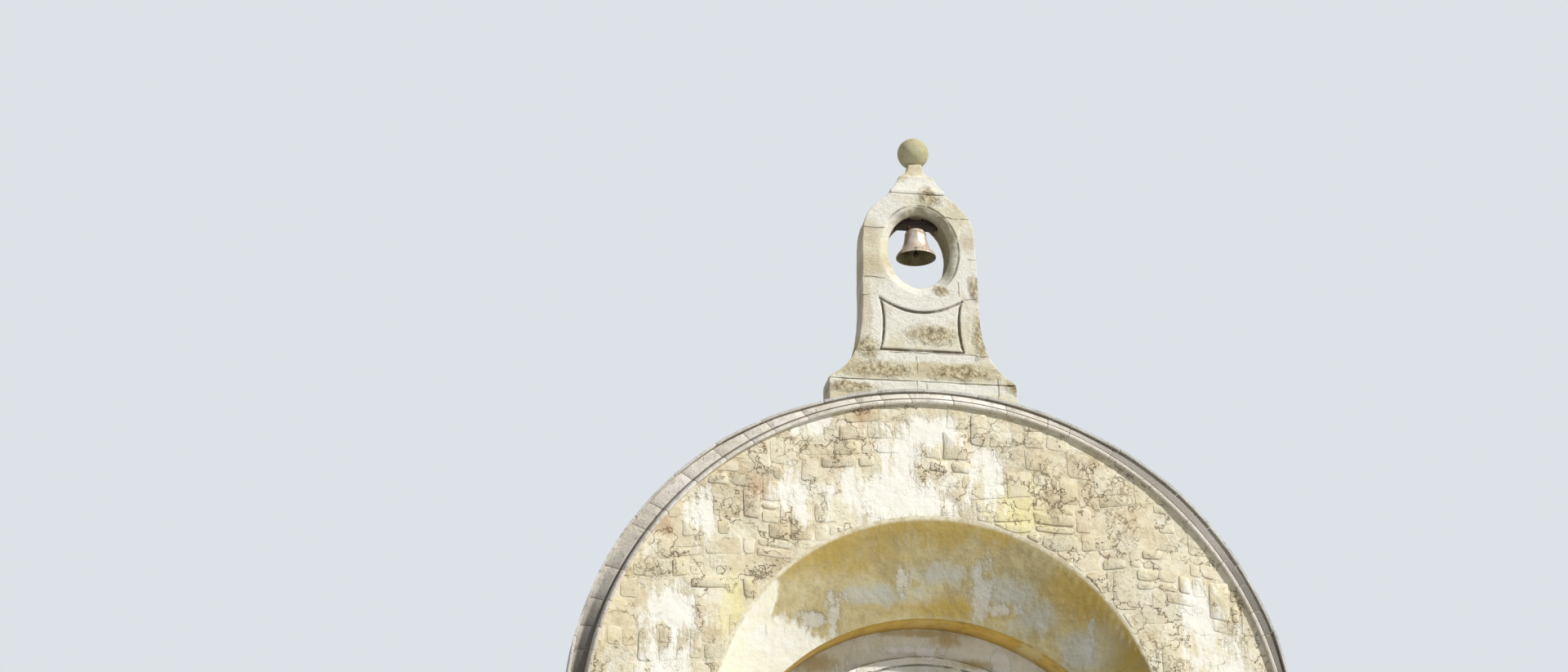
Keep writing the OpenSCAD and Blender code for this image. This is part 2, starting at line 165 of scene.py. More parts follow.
class Finish:
    """One material, mixed from noise patterns, masks and a relief."""

    def __init__(self, name, rough, metal=0.0):
        self.material = bpy.data.materials.new(name)
        self.material.use_nodes = True
        self.tree = self.material.node_tree
        self.shader = self.tree.nodes["Principled BSDF"]
        self.shader.inputs["Roughness"].default_value = rough
        self.shader.inputs["Metallic"].default_value = metal
        self.place = self.tree.nodes.new("ShaderNodeTexCoord").outputs["Object"]
        self.sample = self.place
        self.bumps = None

    def add(self, kind, out, inputs, **settings):
        node = self.tree.nodes.new("ShaderNode" + kind)
        for key, value in settings.items():
            setattr(node, key, value)
        for key, value in inputs.items():
            if isinstance(value, bpy.types.NodeSocket):
                self.tree.links.new(value, node.inputs[key])
            else:
                node.inputs[key].default_value = value
        return node.outputs[out]

    def moved(self, stretch=(1, 1, 1), shift=(0, 0, 0)):
        return self.add("Mapping", 0, {"Vector": self.sample, "Location": shift, "Scale": stretch})

    def clouds(self, size, detail=4, rough=0.6, stretch=(1, 1, 1), shift=(0, 0, 0)):
        """Soft patches about as large as size, in metres."""
        return self.add("TexNoise", 0, {"Vector": self.moved(stretch, shift), "Scale": 0.6 / size,
                                        "Detail": detail, "Roughness": rough})

    def note(self, name):
        """A number that the piece's own mesh carries."""
        return self.add("Attribute", 2, {}, attribute_name=name)

    def per_stone(self):
        """From here on each stone reads its own part of a pattern, so the pattern breaks at its joints."""
        apart = self.add("VectorMath", 0, {0: self.note("tone"), 1: (17, 9, 29)}, operation='MULTIPLY')
        self.sample = self.add("VectorMath", 0, {0: self.place, 1: apart}, operation='ADD')

    def maths(self, what, a, b=0.0):
        return self.add("Math", 0, {0: a, 1: b}, operation=what)

    def plus(self, a, b):
        return self.maths('ADD', a, b)

    def minus(self, a, b):
        return self.maths('SUBTRACT', a, b)

    def times(self, a, b):
        return self.maths('MULTIPLY', a, b)

    def larger(self, a, b):
        return self.maths('MAXIMUM', a, b)

    def near(self, value, level, wide, sharp):
        """1 where a value is within sharp of a level, fading to 0 at wide."""
        return self.mask(self.maths('ABSOLUTE', self.minus(value, level)), wide, sharp)

    def swing(self, pattern, amount):
        """A pattern's swing about its mean, as an amount to add to a mask."""
        return self.times(self.minus(pattern, 0.5), amount)

    def mask(self, value, low, high):
        return self.add("MapRange", 0, {0: value, 1: low, 2: high}, interpolation_type='SMOOTHSTEP')

    def mix(self, amount, a, b):
        return self.add("Mix", 2, {0: amount, 6: a, 7: b}, data_type='RGBA')

    def ramp(self, value, *stops):
        output = self.add("ValToRGB", 0, {0: value})
        scale = output.node.color_ramp
        for k, (at, colour) in enumerate(stops):
            stop = scale.elements[k] if k < 2 else scale.elements.new(at)
            stop.position, stop.color = at, colour
        return output

    def axis(self, which):
        return self.add("SeparateXYZ", which, {0: self.place})

    def spot(self, centre, size):
        """1 in the middle of a place, 0 at its rim, below 0 outside."""
        off = self.add("VectorMath", 0, {0: self.place, 1: centre}, operation='SUBTRACT')
        share = self.add("VectorMath", 0, {0: off, 1: size}, operation='DIVIDE')
        return self.minus(1.0, self.add("VectorMath", 1, {0: share}, operation='LENGTH'))

    def spots(self, places):
        most = None
        for centre, size in places:
            here = self.spot(centre, size)
            most = here if most is None else self.larger(most, here)
        return most

    def relief(self, height, depth):
        inputs = {"Height": height, "Distance": depth, "Strength": 1.0}
        if self.bumps is not None:
            inputs["Normal"] = self.bumps
        self.bumps = self.add("Bump", 0, inputs)

    def done(self, colour, roughness=None):
        self.tree.links.new(colour, self.shader.inputs["Base Color"])
        if roughness is not None:
            self.tree.links.new(roughness, self.shader.inputs["Roughness"])
        if self.bumps is not None:
            self.tree.links.new(self.bumps, self.shader.inputs["Normal"])
        print("finish", self.material.name, "with", len(self.tree.nodes), "nodes")
        return self.material

# %% [markdown]
# ## Pieces
# A modelled piece starts as a bmesh and ends as an object at the origin that rides on one of
# the chapel's bodies. A solid can also be copied: its loose triangles are joined first, so that
# edges can be rounded and flat areas keep single faces.

# %% Make a piece, copy a solid
def make_piece(name, shape, material, body="building", smooth=40, stands_for=()):
    mesh = bpy.data.meshes.new(name)
    shape.to_mesh(mesh)
    shape.free()
    mesh.materials.append(material)
    for face in mesh.polygons:
        face.use_smooth = True
    mesh.set_sharp_from_angle(angle=math.radians(smooth))
    piece = bpy.data.objects.new(name, mesh)
    scene.collection.objects.link(piece)
    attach(piece, body)
    if stands_for:
        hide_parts(*stands_for)
    triangles = sum(len(f.vertices) - 2 for f in mesh.polygons)
    print("piece", name, triangles, "triangles")
    return piece

def joined_copy(node, flat=1.0):
    """A solid's mesh with its corners shared, and with flat areas as whole faces unless flat is 0."""
    shape = bmesh.new()
    shape.from_mesh(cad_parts[node].data)
    bmesh.ops.remove_doubles(shape, verts=shape.verts, dist=0.00001)
    if flat:
        bmesh.ops.dissolve_limit(shape, angle_limit=math.radians(flat), verts=shape.verts, edges=shape.edges)
    return shape

def dress(node, material):
    """A solid that keeps its own mesh gets its finish."""
    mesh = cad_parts[node].data
    mesh.materials.clear()
    mesh.materials.append(material)

# %% [markdown]
# ## Rubble walls
# The walls are small rough limestones, roughly squared and laid in wandering courses, then rubbed
# over with lime. Most joints are lost and only some show as thin dark cracks. A flat picture of
# stones would have no edge against the light, so each stone is a plate: its corners are knocked
# in by chance, it is trimmed where the wall ends, and it is raised a few millimetres from the
# mortar. A tall stone here and there runs through two courses and ties them, and a thick course
# is made up in places with two thin stones.

# %% Cutting one stone
STONE_W, STONE_H = 0.20, 0.135

def cut_stone(middle, wide, tall, limits, rng):
    plate = bmesh.new()
    place = Matrix.Translation(middle) @ Matrix.Rotation(math.pi / 2, 4, 'X') @ Matrix.Diagonal(
        (wide / 2, tall / 2, 1, 1))
    bmesh.ops.create_grid(plate, x_segments=1, y_segments=1, size=1, matrix=place)
    for vert in plate.verts:
        vert.co = vert.co.lerp(middle, rng.uniform(0, 0.15))
        vert.co.z += noise.noise(vert.co * 1.3) * 0.09
    for point, away in limits:
        bmesh.ops.bisect_plane(plate, geom=plate.verts[:] + plate.edges[:] + plate.faces[:], plane_co=point,
                               plane_no=away, clear_outer=True)
    bmesh.ops.remove_doubles(plate, verts=plate.verts, dist=0.015)
    if not plate.faces or plate.faces[:][0].calc_area() < 0.002:
        plate.free()
        return None
    bmesh.ops.bevel(plate, geom=plate.verts[:], offset=rng.uniform(0.012, 0.026), segments=1, profile=0.5,
                    affect='VERTICES', material=-1)
    bmesh.ops.remove_doubles(plate, verts=plate.verts, dist=0.004)
    bmesh.ops.bisect_edges(plate, edges=[e for e in plate.edges if e.calc_length() > 0.05], cuts=1)
    return plate

# %% Laying a whole wall of stones
def lay_wall(half_length, top, keep, limits_at, seed, scale=1.0):
    """Flat stones in an upright sheet that faces -Y, in courses of uneven height."""
    mean_w, mean_h = STONE_W * scale, STONE_H * scale
    rng, cells = random.Random(seed), []
    level, tall, taken = -0.05, mean_h, []
    while level < top:
        above, rising, x = mean_h * rng.uniform(0.7, 1.4), [], -half_length - rng.uniform(0, 0.15)
        while x < half_length:
            end = max([b for a, b in taken if a - 0.02 < x < b - 0.02], default=None)
            if end is None:
                wide = mean_w * rng.choice((0.6, 0.8, 1.0, 1.25, 1.7)) * rng.uniform(0.9, 1.1)
                end = min([x + wide] + [a for a, b in taken if a >= x + 0.02])
                steps = [level, level + tall]
                if end - x < mean_w * 1.4 and rng.random() < 0.2:
                    rising.append((x, end))
                    steps[1] += above
                elif tall > mean_h * 1.2 and rng.random() < 0.3:
                    steps.insert(1, level + tall * rng.uniform(0.35, 0.65))
                cells += [(x, end, lo, hi) for lo, hi in zip(steps, steps[1:])]
            x = end
        level, tall, taken = level + tall, above, rising
    sheet, scrap = bmesh.new(), bpy.data.meshes.new("scrap")
    for x0, x1, z0, z1 in cells:
        if any(keep(Vector((x, 0, z))) for x in (x0, (x0 + x1) / 2, x1) for z in (z0, (z0 + z1) / 2, z1)):
            middle, joint = Vector(((x0 + x1) / 2, 0, (z0 + z1) / 2)), rng.uniform(0.003, 0.009) * scale
            stone = cut_stone(middle, x1 - x0 - joint, z1 - z0 - joint, limits_at(middle), rng)
            if stone is not None:
                stone.to_mesh(scrap)
                stone.free()
                sheet.from_mesh(scrap)
    bpy.data.meshes.remove(scrap)
    print("stones", len(sheet.faces))
    return sheet, rng

# %% Raising the stones from the mortar
LOW, BOLD = 0.0035, 0.008

def raise_stones(sheet, rng, lime_at=lambda p: 0.0):
    """Drops the stones that lime hides, and gives the rest a height, a rounded arris and an uneven face."""
    tone = sheet.faces.layers.float.new("tone")
    rim = sheet.verts.layers.float.new("rim")
    for vert in sheet.verts:
        vert[rim] = 1.0
        wave = noise.noise_vector(vert.co * 9) * 0.010 + noise.noise_vector(vert.co * 29) * 0.006
        vert.co = Vector((vert.co.x + wave.x, 0.004, max(vert.co.z + wave.z, 0.003)))
    hidden, groups = [], {LOW: [], BOLD: []}
    for stone in sheet.faces:
        stone[tone] = rng.random()
        middle = stone.calc_center_median()
        lime = 0.5 + lime_at(middle) + noise.noise(middle * 1.9) * 0.9 + rng.uniform(-0.45, 0.45)
        (hidden if lime > 0.66 else groups[LOW if lime > 0.16 else BOLD]).append(stone)
    bmesh.ops.delete(sheet, geom=hidden, context='FACES')
    for proud, stones in groups.items():
        for width, rise, value in ((0.004, 0.004 + proud * 0.6, 0.3), (0.009, proud * 0.4, 0.0)):
            bmesh.ops.inset_individual(sheet, faces=stones, thickness=width, depth=rise, use_even_offset=False)
            for vert in {v for s in stones for v in s.verts}:
                vert[rim] = value
        for stone in stones:
            shift = rng.uniform(-0.35, 0.35) * proud
            for vert in stone.verts:
                vert.co.y += shift + noise.noise(vert.co * 14) * (0.001 + proud * 0.35)
        tops = bmesh.ops.poke(sheet, faces=stones, offset=0.0, center_mode='MEAN')["verts"]
        for vert in tops:
            vert.co.y -= rng.uniform(-0.2, 0.45) * proud
            vert[rim] = 0.0
    return sheet

# %% [markdown]
# ## The wall's finish
# Mortar and stones share one lime-stained colour, so one recipe makes both. Cream lime lies over
# beige stone, each stone with a tone of its own and its own part of the pattern, so the colour
# breaks at the joints as it does on a real wall. Rain has washed white lime down the front in
# streaks below the bellcote and above the arch, and left a yellow stain to their right. These
# places are given as a few spots on the wall, and noise frays their edges. Where lime lies thick,
# the stones under it aren't laid at all. The sides and the rear get a barer turn of the recipe,
# with their stones and joints clear of the lime.

# %% Lime-washed rubble
WHITE_RUNS = [
    ((-0.02, FRONT, 6.24), (0.32, 1.0, 0.16)), ((-0.28, FRONT, 5.96), (0.20, 1.0, 0.26)),
    ((-0.36, FRONT, 5.62), (0.66, 1.0, 0.27)), ((0.50, FRONT, 5.95), (0.17, 1.0, 0.34)),
    ((-2.03, FRONT, 5.38), (0.10, 1.0, 0.32)), ((-2.30, FRONT, 4.55), (0.30, 1.0, 0.22)),
    ((-2.35, FRONT, 3.95), (0.24, 1.0, 0.28)), ((2.30, FRONT, 4.62), (0.20, 1.0, 0.40)),
    ((2.55, FRONT, 4.10), (0.22, 1.0, 0.40)), ((-1.05, FRONT, 6.28), (0.20, 1.0, 0.14)),
    ((-1.25, FRONT, 5.55), (0.16, 1.0, 0.25)),
]
YELLOW_RUNS = [((0.77, FRONT, 5.55), (0.27, 1.0, 0.34)), ((-1.74, FRONT, 4.60), (0.16, 1.0, 0.35))]
RUST_RUNS = [((-1.55, FRONT, 5.68), (0.13, 1.0, 0.20)), ((-0.64, FRONT, 6.37), (0.12, 1.0, 0.12)),
             ((-2.38, FRONT, 5.30), (0.13, 1.0, 0.10))]

def rubble_finish(name, on_stones, clear=0.0):
    """Lime-stained stone or mortar; clear lifts the stones and their joints out of the lime."""
    f = Finish(name, 0.9)
    fray = f.plus(f.swing(f.clouds(0.06, 5, 0.65, stretch=(1, 1, 0.2)), 3.2), f.swing(f.clouds(0.24, 6, 0.7), 2.4))
    if on_stones:
        f.per_stone()
    colour = f.ramp(f.clouds(0.18, 7, 0.72, shift=(7, 0, 0)),
                    (0.30, paint(206, 184, 146)), (0.41, paint(224, 208, 172)),
                    (0.52, paint(238, 226, 194)), (0.66, paint(246, 239, 216)))
    f.sample = f.place
    if on_stones:
        hue = f.ramp(f.note("tone"), (0.0, paint(224, 202, 168)), (0.25, paint(214, 203, 168)),
                     (0.5, paint(240, 228, 198)), (0.75, paint(202, 182, 144)), (1.0, paint(236, 222, 176)))
        colour = f.mix(0.42 + 0.26 * clear, colour, hue)
    colour = f.mix(f.times(f.mask(f.clouds(0.5, 5, 0.65), 0.48, 0.72), 0.8 - 0.5 * clear), colour,
                   paint(244, 235, 206))
    rough = f.mask(f.clouds(0.3, 4, 0.6, shift=(2, 5, 1)), 0.44, 0.60)
    crumbs = f.clouds(0.035, 7, 0.78, shift=(0, 3, 0))
    dark_crumbs = f.times(f.mask(crumbs, 0.53, 0.64), f.plus(0.3 - 0.2 * clear, f.times(rough, 0.35 - 0.2 * clear)))
    colour = f.mix(dark_crumbs, colour, paint(190, 166, 126))
    white = f.mask(f.plus(f.spots(WHITE_RUNS), f.plus(fray, f.swing(f.clouds(0.04, 5, 0.7), 1.4))), -0.2, 0.5)
    yellow = f.mask(f.plus(f.spots(YELLOW_RUNS), fray), -0.3, 0.9)
    rust = f.mask(f.plus(f.spots(RUST_RUNS), fray), 0.0, 0.9)
    colour = f.mix(f.times(rust, 0.5), colour, paint(190, 146, 104))
    colour = f.mix(f.times(yellow, 0.65), colour, paint(244, 232, 164))
    colour = f.mix(f.times(white, 0.85), colour, paint(251, 247, 234))
    colour = f.mix(f.times(f.mask(f.axis(2), 0.9, 0.0), 0.35), colour, paint(128, 118, 92))
    bare = f.minus(1.0, f.times(white, 0.8))
    veins = f.near(f.clouds(0.16, 4, 0.6, shift=(1, 8, 2)), 0.5, 0.013, 0.004)
    cracks = f.times(veins, f.mask(f.clouds(0.22, 3, 0.6, shift=(9, 2, 4)), 0.44, 0.54))
    finer = f.near(f.clouds(0.075, 4, 0.6, shift=(6, 2, 7)), 0.5, 0.022, 0.006)
    finer = f.times(finer, f.mask(f.clouds(0.2, 4, 0.7, shift=(3, 6, 4)), 0.52, 0.60))
    cracks = f.times(f.larger(cracks, f.times(finer, 0.7)), 1 - 0.7 * clear)
    holes = f.times(f.mask(f.clouds(0.03, 5, 0.75, stretch=(1, 1, 1.5)), 0.58, 0.66), rough)
    if on_stones:
        gap = f.times(f.mask(f.note("rim"), 0.2 - 0.17 * clear, 0.75 - 0.37 * clear),
                      f.mask(f.clouds(0.12, 5, shift=(4, 4, 4)), 0.44 - 0.16 * clear, 0.54 - 0.14 * clear))
        cracks = f.larger(cracks, gap)
    dark = f.times(f.larger(cracks, f.times(holes, 0.5)), bare)
    colour = f.mix(f.times(dark, 0.76), colour, paint(122, 94, 62))
    f.relief(f.clouds(0.1, 4, 0.6, shift=(3, 3, 3)), 0.016)
    f.relief(f.times(crumbs, f.times(bare, f.plus(0.3, f.times(rough, 0.8)))), 0.016)
    f.relief(f.minus(1.0, dark), 0.006)
    return f.done(colour)

stone_finish, mortar_finish = rubble_finish("rubble_stone", True), rubble_finish("lime_mortar", False)
bare_stone, bare_mortar = rubble_finish("bare_rubble_stone", True, 1.0), rubble_finish("bare_mortar", False, 1.0)

# %% The four walls
REACH = HALF_W - 0.004
SIDE_END = 3.49
ON_GROUND = (Vector((0, 0, 0.004)), Vector((0, 0, -1)))

def off_middle(here):
    return math.hypot(here.x, max(here.z - SPRING, 0))

def gable_limits(here, inner):
    """Trims a stone at the ground, at the gable's curve or the wall's side, and at the recess."""
    centre = Vector((0, 0, max(here.z, 0) if here.z < SPRING else SPRING))
    out = (here - centre).normalized()
    limits = [ON_GROUND, (centre + out * REACH, out)]
    if inner:
        limits.append((centre + out * inner, -out))
    return limits

def lime_over(here):
    """How much lime lies over a stone: more in the white runs."""
    most = max(1 - math.hypot((here.x - c[0]) / s[0], (here.z - c[2]) / s[2]) for c, s in WHITE_RUNS)
    return min(max(most * 2, 0), 1)

front_sheet, rng = lay_wall(HALF_W, 6.7, lambda p: RECESS_R + 0.05 < off_middle(p) < REACH,
                            lambda p: gable_limits(p, RECESS_R + 0.018), 11)
raise_stones(front_sheet, rng, lime_over)
bmesh.ops.translate(front_sheet, verts=front_sheet.verts, vec=(0, FRONT, 0))
make_piece("front_rubble", front_sheet, stone_finish, smooth=50)

rear_sheet, rng = lay_wall(HALF_W, 6.7, lambda p: off_middle(p) < REACH, lambda p: gable_limits(p, 0), 12, 1.4)
raise_stones(rear_sheet, rng, lambda p: -0.3)
turn = Matrix.Translation((0, REAR, 0)) @ Matrix.Rotation(math.pi, 4, 'Z')
bmesh.ops.transform(rear_sheet, verts=rear_sheet.verts, matrix=turn)
make_piece("rear_rubble", rear_sheet, bare_stone, smooth=50)

for side, name in ((-1, "left_rubble"), (1, "right_rubble")):
    flank = [ON_GROUND, (Vector((0, 0, EAVES_Z - 0.006)), Vector((0, 0, 1)))]
    flank += [(Vector((end, 0, 0)), Vector((end, 0, 0)).normalized()) for end in (SIDE_END, -SIDE_END)]
    sheet, rng = lay_wall(-FRONT, EAVES_Z, lambda p: True, lambda p: flank, 13 + side, 1.4)
    raise_stones(sheet, rng, lambda p: -0.3)
    turn = Matrix.Translation((side * HALF_W, 0, 0)) @ Matrix.Rotation(side * math.pi / 2, 4, 'Z')
    bmesh.ops.transform(sheet, verts=sheet.verts, matrix=turn)
    make_piece(name, sheet, bare_stone, smooth=50)

for node in ("front_wall", "portal_wall"):
    dress(node, mortar_finish)
for node in ("side_wall_left", "side_wall_right", "rear_wall"):
    dress(node, bare_mortar)

# %% Blocks with worn arrises
def round_edges(shape, edges, width, steps=2):
    """Rounds some edges off; they are taken in a fixed order, each of them once."""
    return bmesh.ops.bevel(shape, geom=list(dict.fromkeys(edges)), offset=width, segments=steps, profile=0.5,
                           affect='EDGES', material=-1)

def add_box(shape, place, size, arris, steps=2):
    """A box with rounded arrises, added to a shape."""
    corners = bmesh.ops.create_cube(shape, size=1.0, matrix=place @ Matrix.Diagonal((*size, 1)))["verts"]
    return round_edges(shape, (e for v in corners for e in v.link_edges), arris, steps)

def tone_new(shape, before, value):
    """Gives one tone to all the faces that a shape didn't have before."""
    tone = shape.faces.layers.float["tone"]
    for face in set(shape.faces) - before:
        face[tone] = value

def worn_block(shape, centre, size, rng, arris=0.012, uneven=0.004):
    """A squared block with worn arrises and uneven corners, added to a shape."""
    worn = add_box(shape, Matrix.Translation(centre), size, arris)
    for vert in dict.fromkeys(v for f in worn["faces"] for v in f.verts):
        wave = noise.noise_vector(vert.co * 11 + Vector((rng.random(), 0, 0)))
        vert.co += wave * uneven

# %% Corner stones
QUOIN_OUT = 0.012
quoins, rng = bmesh.new(), random.Random(21)
quoins.faces.layers.float.new("tone")
for sx in (-1, 1):
    for sy in (-1, 1):
        level, k = 0.004, 0
        while level < EAVES_Z - 0.2:
            tall = min(rng.uniform(0.24, 0.32), EAVES_Z - 0.006 - level)
            deep = (0.46, 0.26) if k % 2 else (0.26, 0.46)
            deep = [d * rng.uniform(0.9, 1.12) for d in deep]
            centre = (sx * (HALF_W + QUOIN_OUT - deep[0] / 2), sy * (REAR + QUOIN_OUT - deep[1] / 2),
                      level + tall / 2)
            before, value = set(quoins.faces), rng.uniform(0.3, 0.7)
            worn_block(quoins, centre, (*deep, tall - 0.008), rng, 0.014, 0.006)
            tone_new(quoins, before, value)
            level += tall
            k += 1
for vert in quoins.verts:
    vert.co.z = max(vert.co.z, 0.002)
make_piece("corner_stones", quoins, bare_stone, smooth=50)

# %% [markdown]
# ## Coping
# The round gables are edged with stones that share one section: a small roll that stands out
# from the wall and a slope above it. Each is short, and their joints show as dark lines across
# the ring. A section is drawn once as a face and spun about the gable's middle through the angle
# of one stone; the next starts after a joint. A smaller section, spun all the way round, is the
# mortar behind them. Thin flat slabs lie on top. A ring laid by eye is never quite true: between
# the crown and the springing the backs of the stones swell outwards by a few centimetres, and the
# slabs follow them. A narrow groove between roll and slope catches the shade.

# %% Spinning a ring of stones
def spin_section(shape, points, start, sweep, shrink=0.0, arris=0.006):
    """Spins a flat section, given as radius and depth, about the middle of a gable."""
    corners = [shape.verts.new((r * math.cos(start), y, SPRING + r * math.sin(start))) for r, y in points]
    face = shape.faces.new(corners)
    face.normal_update()
    if shrink:
        ring = bmesh.ops.inset_individual(shape, faces=[face], thickness=shrink, use_even_offset=True)["faces"]
        bmesh.ops.delete(shape, geom=ring, context='FACES')
    steps = max(2, math.ceil(sweep / math.radians(1.6)))
    made = bmesh.ops.spin(shape, geom=[face], cent=(0, 0, SPRING), axis=(0, -1, 0), dvec=(0, 0, 0), angle=sweep,
                          steps=steps, use_merge=False, use_duplicate=False)
    last = [g for g in made["geom_last"] if isinstance(g, bmesh.types.BMFace)]
    if arris:
        round_edges(shape, (e for f in [face] + last for e in f.edges), arris)

def stone_ring(points, lengths, joint, rng, inward, back, keep_round=None):
    """A half ring of separate stones; each stands a little in from the true line, as laid by hand."""
    shape, angle = bmesh.new(), 0.0
    radius = max(r for r, _ in points)
    shape.faces.layers.float.new("tone")
    while angle < math.pi - 0.02:
        sweep = rng.uniform(*lengths) / radius
        if math.pi - angle - sweep < lengths[0] * 0.6 / radius:
            sweep = math.pi - angle
        middle = angle + sweep / 2
        loose = 0.0 if keep_round and keep_round[0] < middle < keep_round[1] else 1.0
        dr, dy = -rng.uniform(0, inward) * loose, rng.uniform(0, back)
        before = set(shape.faces)
        spin_section(shape, [(r + dr, y + dy) for r, y in points], angle + joint / radius / 2, sweep - joint / radius)
        tone_new(shape, before, rng.random())
        angle += sweep
    bmesh.ops.recalc_face_normals(shape, faces=shape.faces)
    return shape

def to_rear(shape):
    bmesh.ops.scale(shape, verts=shape.verts, vec=(1, -1, 1))
    bmesh.ops.recalc_face_normals(shape, faces=shape.faces)

# %% Coping stones and slabs
COPING = [(3.0, 0), (2.9896, 0), (2.9896, -0.03), (2.9948, -0.04), (3.0104, -0.04), (3.0221, -0.032),
          (3.0325, -0.012), (3.036, 0.014), (3.046, 0.024), (3.056, 0.0225), (3.078, 0.0396), (3.104, 0.063),
          (3.13, 0.09), (3.13, 0.449), (3.0, 0.449)]
GROOVE_R = 3.044
SLAB = [(3.131, 0.05), (3.152, 0.05), (3.152, 0.449), (3.131, 0.449)]
SWELL = [(0, 0), (12, 0), (22, 0.024), (35, 0.034), (45, 0.038), (54, 0.026), (64, 0.004), (72, 0), (108, 0),
         (118, 0.022), (128, 0.042), (140, 0.05), (152, 0.05), (163, 0.042), (172, 0.02), (180, 0)]

def hand_laid(shape):
    """Rings laid by eye: the backs of the stones swell outwards between the crown and the springing."""
    for vert in shape.verts:
        out = Vector((vert.co.x, 0, vert.co.z - SPRING))
        angle = math.degrees(math.atan2(out.z, out.x))
        for (a, low), (b, high) in zip(SWELL, SWELL[1:]):
            if a <= angle < b:
                along = (angle - a) / (b - a)
                swell = low + (high - low) * along * along * (3 - 2 * along)
                vert.co += out.normalized() * swell * min(max((out.length - 3.045) / 0.085, 0), 1)

coping_finish_jobs = []
for where, seed in (("front", 31), ("rear", 32)):
    rng = random.Random(seed)
    stones = stone_ring([(r, FRONT + y) for r, y in COPING], (0.2, 0.5), 0.004, rng, 0.003, 0.003)
    core = bmesh.new()
    spin_section(core, [(r, FRONT + y) for r, y in COPING], 0.0, math.pi, 0.005, 0)
    bmesh.ops.recalc_face_normals(core, faces=core.faces)
    slabs = stone_ring([(r, FRONT + y) for r, y in SLAB], (0.34, 0.75), 0.004, rng, 0.005, 0.012,
                       (math.radians(72), math.radians(110)))
    for shape in (stones, core, slabs):
        hand_laid(shape)
        if where == "rear":
            to_rear(shape)
    coping_finish_jobs.append((where, stones, core, slabs))
print("coping rings", len(coping_finish_jobs))

# %% [markdown]
# ## Weathered coping, slabs and roof
# The coping is paler than the wall, bleached by the sun, with patches of grey growth. On the ring
# the same grey is also painted shade: low down and on the right side, mostly on the slope. One
# recipe serves all the squared stones. It finds the slope by the distance from the middle of the
# gable, and paints shade as a dark line in the groove behind the roll. The gaps between the
# stones are real gaps.

# %% Weathered limestone
def arch_radius(f, middle=SPRING):
    """How far a point lies from the middle of a round arch, or from the middle line below its springing."""
    x, z = f.axis(0), f.larger(f.minus(f.axis(2), middle), 0.0)
    return f.maths('SQRT', f.plus(f.times(x, x), f.times(z, z)))

def limestone_finish(name, light, mid, dark, growth_and_shade, amount, slabby=False, ring=False):
    f = Finish(name, 0.88)
    f.per_stone()
    base = f.mix(f.mask(f.clouds(0.2, 6, 0.68), 0.36, 0.62), mid, light)
    base = f.mix(f.times(f.note("tone"), 0.3), base, dark)
    fine = f.clouds(0.022, 7, 0.76)
    base = f.mix(f.times(f.mask(fine, 0.53, 0.68), 0.8), base, dark)
    mould_and_shade = f.times(f.mask(f.clouds(0.14, 6, 0.75, shift=(3, 9, 1)), 0.5, 0.66), amount)
    if ring:
        reach = arch_radius(f)
        slope = f.times(f.mask(reach, 3.045, 3.06), f.mask(reach, 3.15, 3.12))
        # Painted shade: grey low down on the ring and along its right side, mostly on the slope.
        shaded = f.plus(f.mask(f.axis(2), 5.4, 4.2), f.times(f.mask(f.axis(0), 0.6, 1.8), 0.8))
        shaded = f.times(f.maths('MINIMUM', shaded, 1.0), f.plus(0.25, f.times(slope, 0.75)))
        mould_and_shade = f.larger(mould_and_shade, f.times(shaded, f.mask(f.clouds(0.3, 6, 0.7), 0.14, 0.36)))
    base = f.mix(f.times(mould_and_shade, 0.9), base, growth_and_shade)
    specks = f.times(f.mask(f.clouds(0.014, 3, 0.6, shift=(1, 1, 1)), 0.62, 0.68),
                     f.mask(f.clouds(0.3, 2), 0.42, 0.6))
    base = f.mix(f.times(specks, 0.7), base, paint(96, 84, 62))
    if ring:
        # Painted shade: a dark line in the groove behind the roll, above the springing.
        dirt_and_shade = f.times(f.near(reach, GROOVE_R, 0.013, 0.006), f.mask(f.axis(2), SPRING, SPRING + 0.05))
        base = f.mix(f.times(dirt_and_shade, 0.8), base, paint(86, 72, 54))
    f.relief(fine, 0.015)
    f.relief(f.clouds(0.07, 4, 0.6, shift=(2, 0, 0)), 0.014 if slabby else 0.008)
    return f.done(base)

# The dark grey is the growth and, on the ring, also the painted shade.
coping_stone = limestone_finish("coping_limestone", paint(252, 245, 232), paint(240, 230, 212),
                                paint(196, 180, 152), paint(94, 89, 80), 0.35, ring=True)
coping_joint = limestone_finish("coping_joint_mortar", paint(186, 174, 152), paint(166, 152, 128),
                                paint(112, 98, 76), paint(112, 104, 84), 0.5)
slab_stone = limestone_finish("thin_slab_limestone", paint(238, 234, 224), paint(214, 210, 200),
                              paint(160, 152, 138), paint(120, 120, 104), 0.5)
for where, stones, core, slabs in coping_finish_jobs:
    make_piece(where + "_coping_stones", stones, coping_stone, smooth=30,
               stands_for=(where + "_coping",))
    make_piece(where + "_coping_joints", core, coping_joint, smooth=30)
    make_piece(where + "_top_slabs", slabs, slab_stone, smooth=30,
               stands_for=(where + "_cap_slab",))

# %% [markdown]
# ## Barrel roof
# The roof between the gables is a stone barrel. Thin limestone slabs in courses, each lapping the
# one below, are the plain old way to keep rain off one. A slab is a bevelled box laid a little
# steeper than the barrel, so its lower edge stands a finger's breadth off the course beneath it.

# %% Roof slabs
COURSE, SLAB_THICK = 0.255, 0.009
ROOF_START, ROOF_END = FRONT + 0.452, REAR - 0.452

